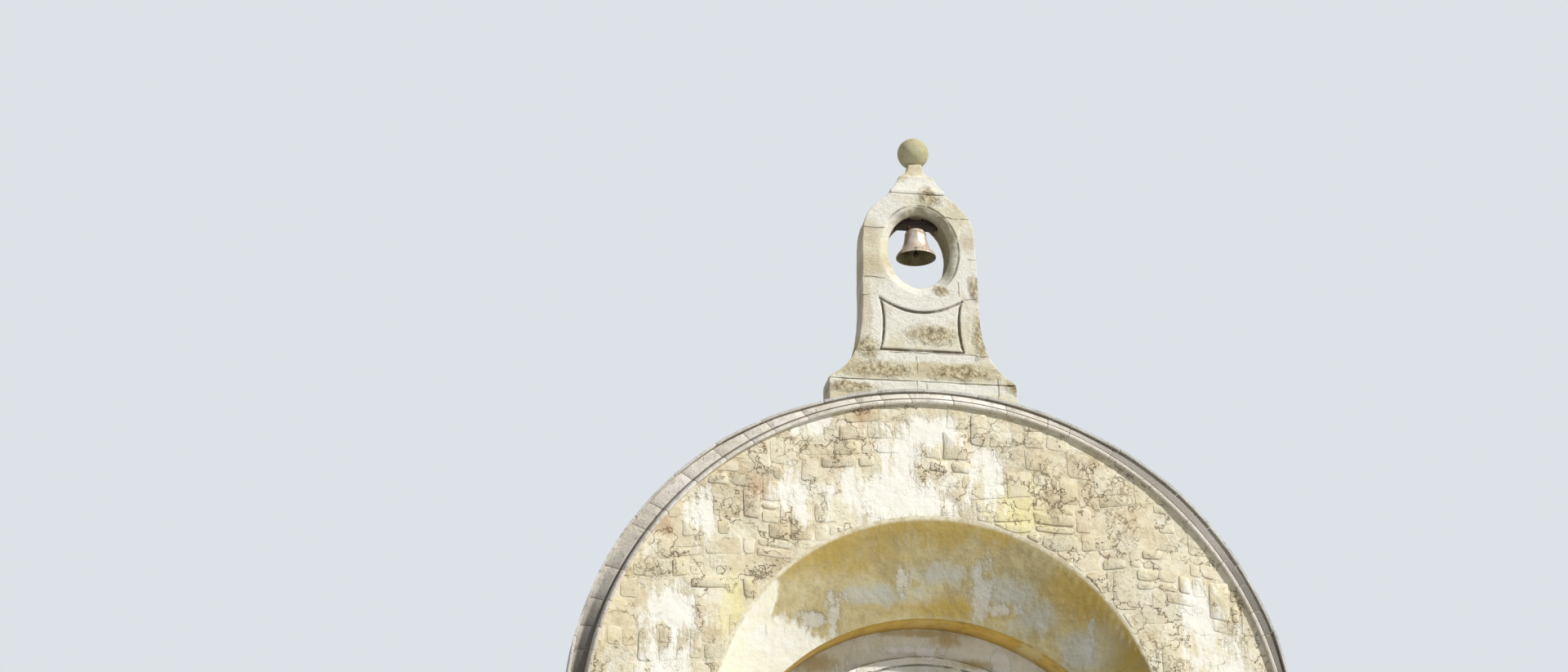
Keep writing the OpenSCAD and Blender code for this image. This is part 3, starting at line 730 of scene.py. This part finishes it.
def slab_course(shape, angle, long, rng):
    """One course along the building: slabs lying on the barrel at an angle above the eaves."""
    y = ROOF_START - rng.uniform(0, 0.2)
    while y < ROOF_END:
        wide = rng.uniform(0.26, 0.46)
        lo, hi = max(y, ROOF_START), min(y + wide, ROOF_END)
        if hi - lo > 0.06:
            tilt = math.radians(2.1 + rng.uniform(-0.15, 0.15))
            up_barrel = Matrix.Translation((0, (lo + hi) / 2, SPRING)) @ Matrix.Rotation(-angle, 4, 'Y')
            place = up_barrel @ Matrix.Translation((ROOF_R + 0.0035, 0, 0)) @ Matrix.Rotation(tilt, 4, 'Y')
            before = set(shape.faces)
            add_box(shape, place, (SLAB_THICK, hi - lo - 0.005, long), 0.003, 1)
            tone_new(shape, before, rng.random())
        y += wide

roof, rng = bmesh.new(), random.Random(41)
roof.faces.layers.float.new("tone")
for k in range(round(math.pi * ROOF_R / 2 / COURSE)):
    slab_course(roof, (k + 0.56) * COURSE / ROOF_R, COURSE * 1.16, rng)
y = ROOF_START
while y < ROOF_END - 0.008:
    wide = min(rng.uniform(0.3, 0.5), ROOF_END - y)
    place = Matrix.Translation((0.075, y + wide / 2, SPRING + ROOF_R + 0.004)) @ Matrix.Rotation(0.028, 4, 'Y')
    before = set(roof.faces)
    add_box(roof, place, (0.17, wide - 0.005, 0.012), 0.003, 1)
    tone_new(roof, before, rng.random())
    y += wide
mirror_from = roof.verts[:] + roof.edges[:] + roof.faces[:]
bmesh.ops.mirror(roof, geom=mirror_from, matrix=Matrix.Identity(4), merge_dist=0.0, axis='X')
bmesh.ops.recalc_face_normals(roof, faces=roof.faces)
roof_stone = limestone_finish("roof_slab_limestone", paint(204, 198, 184), paint(178, 170, 154),
                              paint(130, 122, 106), paint(112, 112, 84), 0.7, True)
make_piece("roof_slabs", roof, roof_stone, smooth=30)
dress("roof_skin", coping_joint)

# %% Eaves stones
EAVES = [(0, 0), (0.30, 0), (0.36, 0.20), (0.62, 0.44), (0.90, 0.52), (1, 0.60), (1, 1), (0, 1)]
eaves_lo, eaves_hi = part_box("eaves_right")
for side, name in ((1, "right"), (-1, "left")):
    shape, y, rng = bmesh.new(), FRONT, random.Random(50 + side)
    shape.faces.layers.float.new("tone")
    while y < REAR - 0.01:
        long = rng.uniform(0.45, 0.8)
        if REAR - y - long < 0.3:
            long = REAR - y
        out, drop = rng.uniform(0.0, 0.003), rng.uniform(0, 0.002)
        before = set(shape.faces)
        reach, foot, tall = eaves_hi.x - HALF_W - out, eaves_lo.z - drop, SPRING - eaves_lo.z
        face = shape.faces.new([shape.verts.new((HALF_W + a * reach, y + 0.003, foot + b * tall)) for a, b in EAVES])
        run = bmesh.ops.extrude_face_region(shape, geom=[face])["geom"]
        far_end = [g for g in run if isinstance(g, bmesh.types.BMVert)]
        bmesh.ops.translate(shape, verts=far_end, vec=(0, long - 0.006, 0))
        ends = [f for f in shape.faces if f not in before and len(f.verts) == len(EAVES)]
        round_edges(shape, (e for f in ends for e in f.edges), 0.006)
        tone_new(shape, before, rng.random())
        y += long
    bmesh.ops.scale(shape, verts=shape.verts, vec=(side, 1, 1))
    bmesh.ops.recalc_face_normals(shape, faces=shape.faces)
    make_piece(name + "_eaves_stones", shape, coping_stone, smooth=30, stands_for=("eaves_" + name,))

# %% [markdown]
# ## Bellcote
# The bellcote is soft yellow limestone, carved and then worn for a very long time: its arrises
# are blunt, its faces uneven, and lichen and lost skin roughen its foot. A copy of the solid is
# turned into an even net of small faces by voxels, smoothed so that its edges wear down as real
# ones do, and pushed in and out by a soft noise. The groove round the panel is cut again in that
# net at its full width, and each corner notes how deep in it lies, so that the finish can paint
# shade into it. Shade is also painted on the reveal of the opening and on the upper right of the
# rim round it. Fine grain is left to the finish.

# %% Wearing down a copy of a solid
def worn_copy(node, voxel, rounds, uneven, hollow=0.0, pits=None, cut=None):
    source = joined_copy(node)
    mesh = bpy.data.meshes.new("scrap")
    source.to_mesh(mesh)
    source.free()
    scrap = bpy.data.objects.new("scrap", mesh)
    scene.collection.objects.link(scrap)
    net = scrap.modifiers.new("net", 'REMESH')
    net.mode, net.voxel_size = 'VOXEL', voxel
    fine = bpy.data.meshes.new_from_object(scrap.evaluated_get(bpy.context.evaluated_depsgraph_get()))
    bpy.data.objects.remove(scrap)
    bpy.data.meshes.remove(mesh)
    shape = bmesh.new()
    shape.from_mesh(fine)
    bpy.data.meshes.remove(fine)
    in_cut = shape.verts.layers.float.new("cut")
    for vert in shape.verts:
        vert[in_cut] = cut(vert.co) if cut else 0.0
        vert.co.y += vert[in_cut] * 0.012
    for _ in range(rounds):
        bmesh.ops.smooth_vert(shape, verts=shape.verts, factor=0.5, use_axis_x=True, use_axis_y=True, use_axis_z=True)
    shape.normal_update()
    for vert in shape.verts:
        p = vert.co
        push = (noise.noise(p * 3.1) * uneven + noise.noise(p * 11) * uneven * 0.5
                + noise.noise(p * 27) * uneven * 0.25)
        rough = max(0.0, noise.noise(p * 5.3 + Vector((4, 0, 0))) - 0.05)
        if pits:
            push -= pits(p) * rough * (0.014 + 0.014 * noise.noise(p * 42))
        vert.co = p + vert.normal * (push - hollow)
    return shape

def lost_skin(p):
    """Where the stone's skin is lost: round the foot of the bellcote and low on its flanks."""
    foot = max(0.0, 1.0 - abs(p.z - 6.83) / 0.15)
    panel = max(0.0, 1.0 - math.hypot((p.x - 0.02) / 0.28, (p.z - 7.22) / 0.14))
    return min(1.3, foot * 1.6 + panel * 0.8 + 0.2)

SHAFT_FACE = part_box("bellcote_body")[0].y
PANEL_HALF, PANEL_TOP, PANEL_SAG = 0.386, 7.543, 0.131

def panel_cut(p):
    """1 in the groove that is cut round the panel, 0 elsewhere; its sagging top is cut out to the corners."""
    across = abs(p.x + 0.05)
    if not 7.0 < p.z < 7.565 or across > 0.41 or p.y > SHAFT_FACE + 0.04:
        return 0.0
    groove = min(max((p.y - SHAFT_FACE - 0.002) / 0.006, 0.0), 1.0)
    if across < PANEL_HALF:
        middle = PANEL_TOP - 0.012 - PANEL_SAG * (1 - (across / PANEL_HALF) ** 2)
        groove = max(groove, min(max(1.8 - abs(p.z - middle) / 0.009, 0.0), 1.0))
    return groove

# %% The bellcote's stone
JOINTS_LEVEL = [(7.010, -0.9, 0.9), (7.548, -0.7, -0.42), (7.548, 0.34, 0.7), (7.945, 0.30, 0.7),
                (8.215, -0.7, -0.36), (7.72, -0.7, -0.36), (8.34, 0.10, 0.6)]
OVAL_AT = (-0.05, 0, 8.008)
JOINTS_UPRIGHT = [(-0.10, 6.60, 6.98), (0.62, 6.60, 6.8), (0.30, 7.56, 7.72), (-0.02, 6.65, 6.75)]

def line_mask(f, across, level, along, lo, hi, wide):
    """A thin line at a level, as long as from lo to hi."""
    inside = f.times(f.mask(along, lo, lo + 0.02), f.mask(along, hi, hi - 0.02))
    return f.times(f.near(across, level, wide, wide * 0.3), inside)

def bellcote_finish(name):
    f = Finish(name, 0.9)
    wobble = f.swing(f.clouds(0.1, 4, 0.6), 0.06)
    x, y, z = (f.axis(k) for k in range(3))
    colour = f.ramp(f.clouds(0.24, 7, 0.7), (0.30, paint(210, 192, 154)), (0.41, paint(230, 217, 182)),
                    (0.52, paint(243, 234, 204)), (0.66, paint(250, 245, 224)))
    fray = f.swing(f.clouds(0.12, 6, 0.72), 2.4)
    bleach = f.spots([
        ((-0.05, -3.4, 7.56), (0.60, 0.4, 0.22)), ((-0.08, -3.4, 7.40), (0.46, 0.4, 0.28)),
        ((0.0, -3.4, 6.98), (0.8, 0.4, 0.06)), ((-0.48, -3.4, 7.25), (0.14, 0.4, 0.40)),
        ((-0.36, -3.4, 8.40), (0.22, 0.4, 0.20)), ((0.42, -3.4, 7.80), (0.2, 0.4, 0.4)),
        ((-0.05, -3.4, 8.62), (0.30, 0.4, 0.16)), ((0.0, -3.4, 6.69), (1.2, 0.4, 0.08)),
    ])
    colour = f.mix(f.times(f.mask(f.plus(bleach, fray), -0.35, 0.45), 0.85), colour, paint(253, 249, 234))
    tan = f.spots([
        ((-0.52, -3.4, 7.84), (0.12, 0.4, 0.13)), ((-0.50, -3.4, 8.14), (0.10, 0.4, 0.14)),
        ((-0.55, -3.4, 7.40), (0.06, 0.4, 0.3)), ((0.40, -3.4, 8.10), (0.08, 0.4, 0.10)),
    ])
    colour = f.mix(f.times(f.mask(f.plus(tan, fray), -0.3, 0.6), 0.5), colour, paint(206, 184, 146))
    crumbs = f.clouds(0.026, 7, 0.8)
    colour = f.mix(f.times(f.mask(crumbs, 0.55, 0.68), 0.36), colour, paint(186, 162, 120))
    lost = f.spots([
        ((-0.42, -3.4, 6.84), (0.40, 0.5, 0.10)), ((0.30, -3.4, 6.84), (0.44, 0.5, 0.10)),
        ((-0.55, -3.3, 7.05), (0.16, 0.5, 0.12)), ((0.06, -3.4, 7.20), (0.30, 0.5, 0.11)),
        ((0.50, -3.4, 7.20), (0.10, 0.5, 0.30)), ((0.78, -3.4, 6.74), (0.14, 0.5, 0.10)),
        ((0.03, -3.4, 8.53), (0.14, 0.4, 0.12)), ((0.46, -3.4, 7.66), (0.08, 0.4, 0.17)),
        ((0.14, -3.4, 7.62), (0.09, 0.4, 0.06)), ((0, -3.1, 6.84), (1.2, 0.2, 0.12)),
        ((-0.7, -3.4, 6.66), (0.3, 0.4, 0.06)),
    ])
    lost = f.mask(f.plus(lost, fray), -0.05, 0.6)
    bits = f.clouds(0.03, 5, 0.7, shift=(2, 2, 2))
    crust = f.ramp(bits, (0.38, paint(110, 90, 58)), (0.47, paint(178, 154, 108)),
                   (0.55, paint(218, 202, 158)), (0.66, paint(242, 235, 210)))
    colour = f.mix(f.times(lost, 0.85), colour, crust)
    cracks = None
    for lines, across, along in ((JOINTS_LEVEL, z, x), (JOINTS_UPRIGHT, x, z)):
        for level, lo, hi in lines:
            line = line_mask(f, f.plus(across, wobble), level, along, lo, hi, 0.007)
            cracks = line if cracks is None else f.larger(cracks, line)
    broken = f.times(cracks, f.mask(f.clouds(0.07, 4, shift=(5, 5, 5)), 0.40, 0.54))
    colour = f.mix(f.times(broken, 0.6), colour, paint(128, 102, 66))
    # Painted shade in the groove round the panel, broken up by clouds.
    groove = f.times(f.mask(f.note("cut"), 0.15, 0.6), f.mask(f.clouds(0.12, 4, shift=(7, 5, 1)), 0.34, 0.48))
    colour = f.mix(f.times(groove, 0.76), colour, paint(104, 84, 54))
    # Painted shade on the reveal inside the oval opening, behind the face.
    opening = f.minus(1.0, f.spot(OVAL_AT, (0.277, 1000, 0.352)))
    inside = f.times(f.mask(opening, 1.06, 1.03), f.mask(y, SHAFT_FACE + 0.03, SHAFT_FACE + 0.05))
    colour = f.mix(f.times(inside, 0.78), colour, paint(120, 109, 74))
    # Upper right only: a dark line along the rim's outer edge, partly a joint and partly painted shade, and painted
    # shade in olive over the rim inside it.
    reach = f.plus(f.minus(1.0, f.spot(OVAL_AT, (0.364, 1000, 0.440))), f.times(wobble, 0.5))
    upper = f.mask(f.plus(x, f.times(z, 0.8)), 6.24, 6.50)
    rim = f.times(f.near(reach, 1.0, 0.030, 0.010), upper)
    rim = f.times(rim, f.mask(f.clouds(0.1, 4, shift=(3, 5, 8)), 0.34, 0.48))
    rim_shade = f.times(f.times(f.mask(reach, 1.0, 0.96), upper),
                    f.mask(f.plus(reach, f.swing(f.clouds(0.1, 5), 0.5)), 1.05, 0.86))
    rim_shade = f.times(rim_shade, f.mask(y, SHAFT_FACE + 0.06, SHAFT_FACE + 0.03))
    colour = f.mix(f.times(rim_shade, 0.75), colour, paint(116, 104, 70))
    colour = f.mix(f.times(rim, 0.75), colour, paint(108, 88, 54))
    f.relief(f.minus(1.0, f.larger(broken, rim)), 0.008)
    f.relief(crumbs, 0.018)
    f.relief(f.times(bits, lost), 0.02)
    return f.done(colour)

bellcote_stone = bellcote_finish("bellcote_limestone")
voxel = 0.0086
for name, node, fine, rounds, hollow, pits, cut in (
        ("bellcote_worn", "bellcote_body", voxel, 1, 0.002, lost_skin, panel_cut),
        ("plinth_worn", "plinth_stone", 0.011, 2, 0.003, lost_skin, None),
        ("neck_worn", "neck_stone", 0.008, 3, 0.0, None, None)):
    shape = worn_copy(node, fine, rounds, 0.005, hollow, pits, cut)
    make_piece(name, shape, bellcote_stone, smooth=180, stands_for=(node,))

# %% The ball
ball_finish = limestone_finish("ball_limestone", paint(216, 207, 166), paint(200, 190, 146),
                               paint(168, 156, 112), paint(150, 144, 100), 0.35)
ball = joined_copy("ball_finial", 0.01)
make_piece("ball_smooth", ball, ball_finish, smooth=60, stands_for=("ball_finial",))

# %% [markdown]
# ## Plaster in the recess
# The splayed reveal, the inner arch and the back wall are plastered by trowel and washed in
# ochre, flaked to white in patches and run down in streaks. On the splay, painted shade turns
# the wash a darker olive. Damp has left soft grey patches, and the jamb that the sun reaches is
# painted sunlight, a paler cream. The moulded arch on the back wall is edged by two thin dark
# lines of painted shade. The solids have the right shape; copies with shared corners shade
# smoothly round the arch, and a subdivided net lets the plaster wave a little.

# %% Ochre limewash
BAND_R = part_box("arch_band")[1].x
BAND_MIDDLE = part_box("arch_band")[1].z - BAND_R
BAND_W = 0.07

def plaster_finish(name, low, mid, high, ochre, white, ochre_at, white_at, sunlit_at=(), damp_at=(), lined=False):
    f = Finish(name, 0.88)
    streak = f.clouds(0.055, 5, 0.65, stretch=(1, 1, 0.2))
    drift = f.clouds(0.3, 7, 0.7)
    both = f.plus(f.times(drift, 0.7), f.times(streak, 0.3))
    colour = f.ramp(both, (0.36, low), (0.5, mid), (0.64, high))
    fray = f.plus(f.swing(streak, 2.8), f.swing(f.clouds(0.2, 6, 0.7, shift=(2, 2, 2)), 1.9))
    colour = f.mix(f.times(f.mask(f.plus(f.spots(ochre_at), fray), -0.45, 0.6), 0.8), colour, ochre)
    colour = f.mix(f.times(f.mask(f.clouds(0.07, 7, 0.75, shift=(6, 1, 3)), 0.50, 0.64), 0.4), colour, low)
    if damp_at:
        damp = f.mask(f.plus(f.spots(damp_at), fray), -0.3, 0.8)
        colour = f.mix(f.times(damp, 0.75), colour, paint(188, 188, 176))
    flaked = f.mask(f.plus(f.spots(white_at), f.plus(fray, f.swing(f.clouds(0.04, 6, 0.75), 2.0))), -0.12, 0.45)
    colour = f.mix(f.times(flaked, 0.68), colour, white)
    # Painted sunlight: a paler cream where the sun reaches the left jamb.
    if sunlit_at:
        cream = f.mask(f.plus(f.spots(sunlit_at), f.times(fray, 0.12)), -0.04, 0.06)
        colour = f.mix(f.times(cream, 0.92), colour,
                       f.mix(f.mask(drift, 0.35, 0.6), paint(248, 245, 236), paint(243, 236, 210)))
    if lined:
        # Painted shade: two thin dark lines along the edges of the moulded arch band.
        reach = f.plus(arch_radius(f, BAND_MIDDLE), f.swing(f.clouds(0.15, 4), 0.012))
        inner, outer = (f.near(reach, r, 0.009, 0.003) for r in (BAND_R - BAND_W, BAND_R))
        line = f.times(f.larger(inner, outer), f.mask(f.clouds(0.09, 4, shift=(4, 4, 1)), 0.36, 0.5))
        colour = f.mix(f.times(line, 0.8), colour, paint(84, 82, 62))
    dirt_and_shade = f.times(f.mask(f.clouds(0.014, 4, 0.7), 0.62, 0.70), f.mask(f.clouds(0.2, 3, shift=(1, 0, 0)), 0.46, 0.6))
    colour = f.mix(f.times(dirt_and_shade, 0.6), colour, paint(84, 70, 44))
    edge = f.mix(f.mask(f.clouds(0.05, 6, 0.75), 0.4, 0.6), paint(214, 198, 162), paint(238, 228, 200))
    colour = f.mix(f.mask(f.axis(1), FRONT + 0.014, FRONT + 0.002), colour, edge)
    colour = f.mix(f.times(f.mask(f.axis(2), 1.0, 0.0), 0.35), colour, paint(120, 112, 88))
    f.relief(f.clouds(0.07, 6, 0.6), 0.014)
    f.relief(f.times(flaked, -1.0), 0.005)
    return f.done(colour)

SPLAY_WHITE = [
    ((-0.86, -3.3, 4.62), (0.10, 0.4, 0.20)), ((0.42, -3.25, 4.86), (0.10, 0.4, 0.30)),
    ((-0.28, -3.3, 4.92), (0.06, 0.4, 0.15)), ((1.37, -3.3, 4.42), (0.05, 0.4, 0.17)),
    ((0.60, -3.3, 4.72), (0.16, 0.4, 0.06)), ((-1.02, -3.3, 4.56), (0.16, 0.4, 0.08)),
]
SPLAY_OCHRE = [
    ((0.05, -3.42, 5.38), (1.1, 0.3, 0.16)), ((-0.9, -3.45, 5.15), (0.6, 0.2, 0.22)),
    ((1.3, -3.42, 4.85), (0.36, 0.3, 0.34)), ((1.75, -3.4, 4.2), (0.25, 0.3, 0.5)),
    ((0.3, -3.2, 4.72), (1.0, 0.15, 0.08)),
]
SPLAY_DAMP = [
    ((0.68, -3.3, 4.84), (0.24, 0.4, 0.16)), ((0.90, -3.3, 4.64), (0.22, 0.4, 0.16)),
    ((1.30, -3.3, 4.34), (0.26, 0.4, 0.20)), ((-0.45, -3.3, 4.80), (0.40, 0.4, 0.10)),
    ((0.1, -3.3, 5.0), (0.3, 0.4, 0.1)),
]
SPLAY_LIT = [((-1.50, -3.3, 3.72), (1.10, 3.0, 0.83)), ((-1.62, -3.5, 4.45), (0.36, 0.12, 0.56)),
             ((-1.9, -3.3, 2.0), (0.5, 3.0, 2.9))]
# The splay's olive tones are the ochre wash with shade painted in; SPLAY_LIT places the painted sunlight on the left
# jamb.
splay_wash = plaster_finish("ochre_limewash", paint(166, 148, 102), paint(196, 180, 132), paint(214, 204, 168),
                            paint(182, 152, 66), paint(206, 202, 190),
                            SPLAY_OCHRE, SPLAY_WHITE, SPLAY_LIT, SPLAY_DAMP)
# The inner arch also gets painted sunlight on its left jamb.
arch_wash = plaster_finish("arch_ochre", paint(150, 120, 62), paint(202, 172, 98), paint(222, 200, 142),
                           paint(210, 170, 70), paint(212, 196, 144),
                           [((-0.6, -3.0, 4.55), (0.7, 0.5, 0.3)), ((0.75, -3.0, 4.5), (0.6, 0.5, 0.3))],
                           [((0.9, -3.0, 4.4), (0.12, 0.5, 0.08))],
                           [((-1.9, -3.1, 3.3), (0.75, 3.0, 1.0)), ((-1.9, -3.1, 1.6), (0.6, 3.0, 2.6))])
back_wash = plaster_finish("back_limewash", paint(222, 214, 190), paint(242, 238, 222), paint(250, 248, 240),
                           paint(196, 172, 112), paint(252, 252, 250),
                           [((0.20, -2.9, 4.54), (0.14, 0.5, 0.07)), ((0.46, -2.9, 4.33), (0.22, 0.5, 0.05)),
                            ((-0.95, -2.9, 4.30), (0.25, 0.5, 0.10)), ((0.05, -2.9, 4.60), (0.5, 0.5, 0.04))],
                           [((-0.12, -2.9, 4.44), (0.35, 0.5, 0.06)), ((0.68, -2.9, 4.34), (0.10, 0.5, 0.12)),
                            ((0, -2.9, 4.1), (1.5, 0.5, 0.14)), ((-0.6, -2.9, 3.6), (0.5, 0.5, 0.7))],
                           lined=True)

def plastered(node, name, material, uneven):
    """A smooth copy with a fine net, pushed gently in and out like trowelled plaster."""
    shape = joined_copy(node, 0)
    for length in (1.6, 0.8, 0.4, 0.2):
        long = [e for e in shape.edges if e.calc_length() > length]
        bmesh.ops.subdivide_edges(shape, edges=long, cuts=1)
        bmesh.ops.triangulate(shape, faces=[f for f in shape.faces if len(f.verts) > 3])
    shape.normal_update()
    for vert in shape.verts:
        free = min(max((vert.co.y - FRONT) / 0.12, 0), 1) * min(max(vert.co.z / 0.1, 0), 1)
        vert.co += vert.normal * noise.noise(vert.co * 3.7) * uneven * free
    make_piece(name, shape, material, smooth=32, stands_for=(node,))

plastered("recess_splay", "splay_plaster", splay_wash, 0.003)
plastered("inner_arch", "inner_arch_plaster", arch_wash, 0.003)
dress("recess_back_wall", back_wash)
band = joined_copy("arch_band", 0)
make_piece("arch_band_plaster", band, back_wash, smooth=32, stands_for=("arch_band",))
dress("vault", back_wash)

# %% [markdown]
# ## Doorway
# The doorway is below the view, so it is given the plain form that such a front has: a frame of
# squared stones, a worn sill and two leaves of oak planks on iron straps. Planks are separate
# bevelled boxes with a gap between them, which reads as a door from any side.

# %% Door planks, straps and frame stones
def grain_finish(name, pale, mid, dark, along, rough=0.65):
    f = Finish(name, rough)
    thin = {0: (0.05, 1, 1), 2: (1, 1, 0.05)}[along]
    rings = f.clouds(0.012, 5, 0.65, stretch=thin)
    wide = f.clouds(0.12, 3, 0.5, stretch=thin)
    base = f.ramp(rings, (0.3, dark), (0.5, mid), (0.72, pale))
    base = f.mix(f.times(f.note("tone"), 0.4), base, dark)
    base = f.mix(f.times(f.mask(wide, 0.5, 0.75), 0.4), base, pale)
    f.relief(rings, 0.004)
    return f.done(base, f.plus(0.5, f.times(rings, 0.4)))

oak = grain_finish("door_oak", paint(142, 104, 72), paint(112, 76, 50), paint(66, 42, 28), 2)
# Painted shade: the headstock's oak is much darker than the door's.
shaded_beam_oak = grain_finish("headstock_oak", paint(88, 74, 56), paint(60, 50, 38), paint(34, 28, 22), 0)
planks, rng = bmesh.new(), random.Random(61)
planks.faces.layers.float.new("tone")
for node in ("door_leaf_left", "door_leaf_right"):
    lo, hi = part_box(node)
    wide = (hi.x - lo.x) / 5
    for k in range(5):
        before = set(planks.faces)
        centre = (lo.x + wide * (k + 0.5), (lo.y + hi.y) / 2, (lo.z + hi.z) / 2)
        worn_block(planks, centre, (wide - 0.003, hi.y - lo.y, hi.z - lo.z), rng, 0.005, 0.0008)
        tone_new(planks, before, rng.random())
make_piece("door_planks", planks, oak, smooth=40, stands_for=("door_leaf_left", "door_leaf_right"))

def iron_finish(name):
    f = Finish(name, 0.6, 0.7)
    rust = f.mask(f.clouds(0.03, 6, 0.75), 0.48, 0.66)
    base = f.mix(rust, paint(62, 58, 56), paint(108, 66, 42))
    f.relief(f.clouds(0.006, 4), 0.0015)
    return f.done(base, f.plus(0.5, f.times(rust, 0.35)))

iron = iron_finish("forged_iron")
straps, rng = bmesh.new(), random.Random(62)
for node, hinge in (("door_leaf_left", 0), ("door_leaf_right", 1)):
    lo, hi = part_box(node)
    for level in (0.42, 1.95):
        wide = 0.5
        middle = lo.x + wide / 2 if hinge == 0 else hi.x - wide / 2
        worn_block(straps, (middle, lo.y - 0.002, 0.15 + level), (wide, 0.008, 0.05), rng, 0.002, 0.0005)
        for k in range(5):
            x = middle - wide / 2 + 0.05 + k * 0.1
            bmesh.ops.create_uvsphere(
                straps, u_segments=10, v_segments=6, radius=0.011,
                matrix=Matrix.Translation((x, lo.y - 0.006, 0.15 + level)) @ Matrix.Diagonal((1, 0.6, 1, 1)))
make_piece("door_straps", straps, iron, smooth=40)
ring = joined_copy("door_ring", 0.01)
make_piece("door_ring_forged", ring, iron, smooth=50, stands_for=("door_ring",))

frame_stones, rng = bmesh.new(), random.Random(63)
tone = frame_stones.faces.layers.float.new("tone")
for node in ("door_frame_left", "door_frame_right"):
    lo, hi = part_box(node)
    levels = [0, 0.19, 0.42, 0.60, 0.83, 1]
    for a, b in zip(levels, levels[1:]):
        z0, z1 = lo.z + a * (hi.z - lo.z), lo.z + b * (hi.z - lo.z)
        worn_block(frame_stones, ((lo.x + hi.x) / 2, (lo.y + hi.y) / 2, (z0 + z1) / 2),
                   (hi.x - lo.x, hi.y - lo.y, z1 - z0 - 0.004), rng, 0.007, 0.002)
for node in ("door_lintel", "door_sill"):
    lo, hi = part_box(node)
    worn_block(frame_stones, (lo + hi) / 2, tuple(hi - lo), rng, 0.01, 0.002)
for face in frame_stones.faces:
    face[tone] = rng.random() * 0.2
for vert in frame_stones.verts:
    vert.co.z = max(vert.co.z, 0.001)
frame_finish = limestone_finish("door_frame_limestone", paint(226, 214, 184), paint(206, 192, 160),
                                paint(160, 144, 112), paint(140, 124, 88), 0.4)
make_piece("door_frame_stones", frame_stones, frame_finish, smooth=40,
           stands_for=("door_frame_left", "door_frame_right", "door_lintel", "door_sill"))
flags = limestone_finish("floor_flags", paint(170, 164, 150), paint(146, 138, 124),
                         paint(104, 98, 86), paint(96, 90, 74), 0.5, True)
dress("floor_slab", flags)

# %% [markdown]
# ## Bell, headstock and irons
# The bell is dull bronze, nearly pink where the light strikes its waist, with a few turned rings
# cast on it. The rings are thin tori that ride with the bell.

# %% Bronze bell
def bronze_finish(name, bright, dull, metal):
    f = Finish(name, 0.5, metal)
    patina = f.mask(f.clouds(0.06, 6, 0.7), 0.42, 0.7)
    runs = f.mask(f.clouds(0.02, 4, 0.6, stretch=(1, 1, 0.2)), 0.5, 0.7)
    base = f.mix(patina, paint(*bright), paint(*dull))
    base = f.mix(f.times(runs, 0.5), base, paint(108, 112, 92))
    f.relief(f.clouds(0.01, 4), 0.001)
    return f.done(base, f.plus(0.44, f.times(patina, 0.25)))

bronze = bronze_finish("aged_bronze", (226, 208, 190), (172, 146, 118), 0.55)
bell_lo, bell_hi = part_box("bell")
bell_x, bell_y = (bell_lo.x + bell_hi.x) / 2, (bell_lo.y + bell_hi.y) / 2
bell_shape = joined_copy("bell", 0)
bell_shape.normal_update()
# Inside the bell and under its lip the bronze is painted darker: painted shade.
for face in bell_shape.faces:
    middle = face.calc_center_median()
    outwards = Vector((middle.x - bell_x, middle.y - bell_y, 0)).normalized()
    if middle.z < bell_lo.z + 0.26 and face.normal.dot(outwards) < -0.05 or face.normal.z < -0.7:
        face.material_index = 1
bell_piece = make_piece("bell_cast", bell_shape, bronze, "bell_unit", 30, ("bell",))
bell_piece.data.materials.append(bronze_finish("bell_inside_shaded", (124, 112, 74), (96, 84, 54), 0.3))

# %% Rings cast on the bell
BELL_TALL = 0.275
RINGS = [(0.115, 0.166, 0.0035), (0.15, 0.158, 0.0025), (0.84, 0.0955, 0.003), (0.80, 0.0967, 0.0022),
         (0.045, 0.1765, 0.003)]
rings = bmesh.new()
for share, radius, thick in RINGS:
    height = bell_lo.z + share * BELL_TALL
    place = Matrix.Translation((bell_x + radius, bell_y, height)) @ Matrix.Rotation(math.pi / 2, 4, 'X')
    circle = bmesh.ops.create_circle(rings, segments=8, radius=thick, matrix=place)["verts"]
    loop = list(dict.fromkeys(e for v in circle for e in v.link_edges))
    bmesh.ops.spin(rings, geom=circle + loop, cent=(bell_x, bell_y, height), axis=(0, 0, 1), dvec=(0, 0, 0),
                   angle=math.tau, steps=64, use_merge=True, use_duplicate=False)
bmesh.ops.recalc_face_normals(rings, faces=rings.faces)
make_piece("bell_rings", rings, bronze, "bell_unit", 60)

# %% Headstock, straps, pins and clapper
beam = joined_copy("headstock")
round_edges(beam, beam.edges[:], 0.004)
make_piece("headstock_beam", beam, shaded_beam_oak, "bell_unit", 40, ("headstock",))
for node, body in (("headstock_straps", "bell_unit"), ("clapper_staple", "bell_unit"), ("clapper", "clapper_unit"),
                   ("headstock_pins", "bell_unit"), ("bearing_left", "building"), ("bearing_right", "building")):
    make_piece(node + "_iron", joined_copy(node, 0.01), iron, body, 35, (node,))
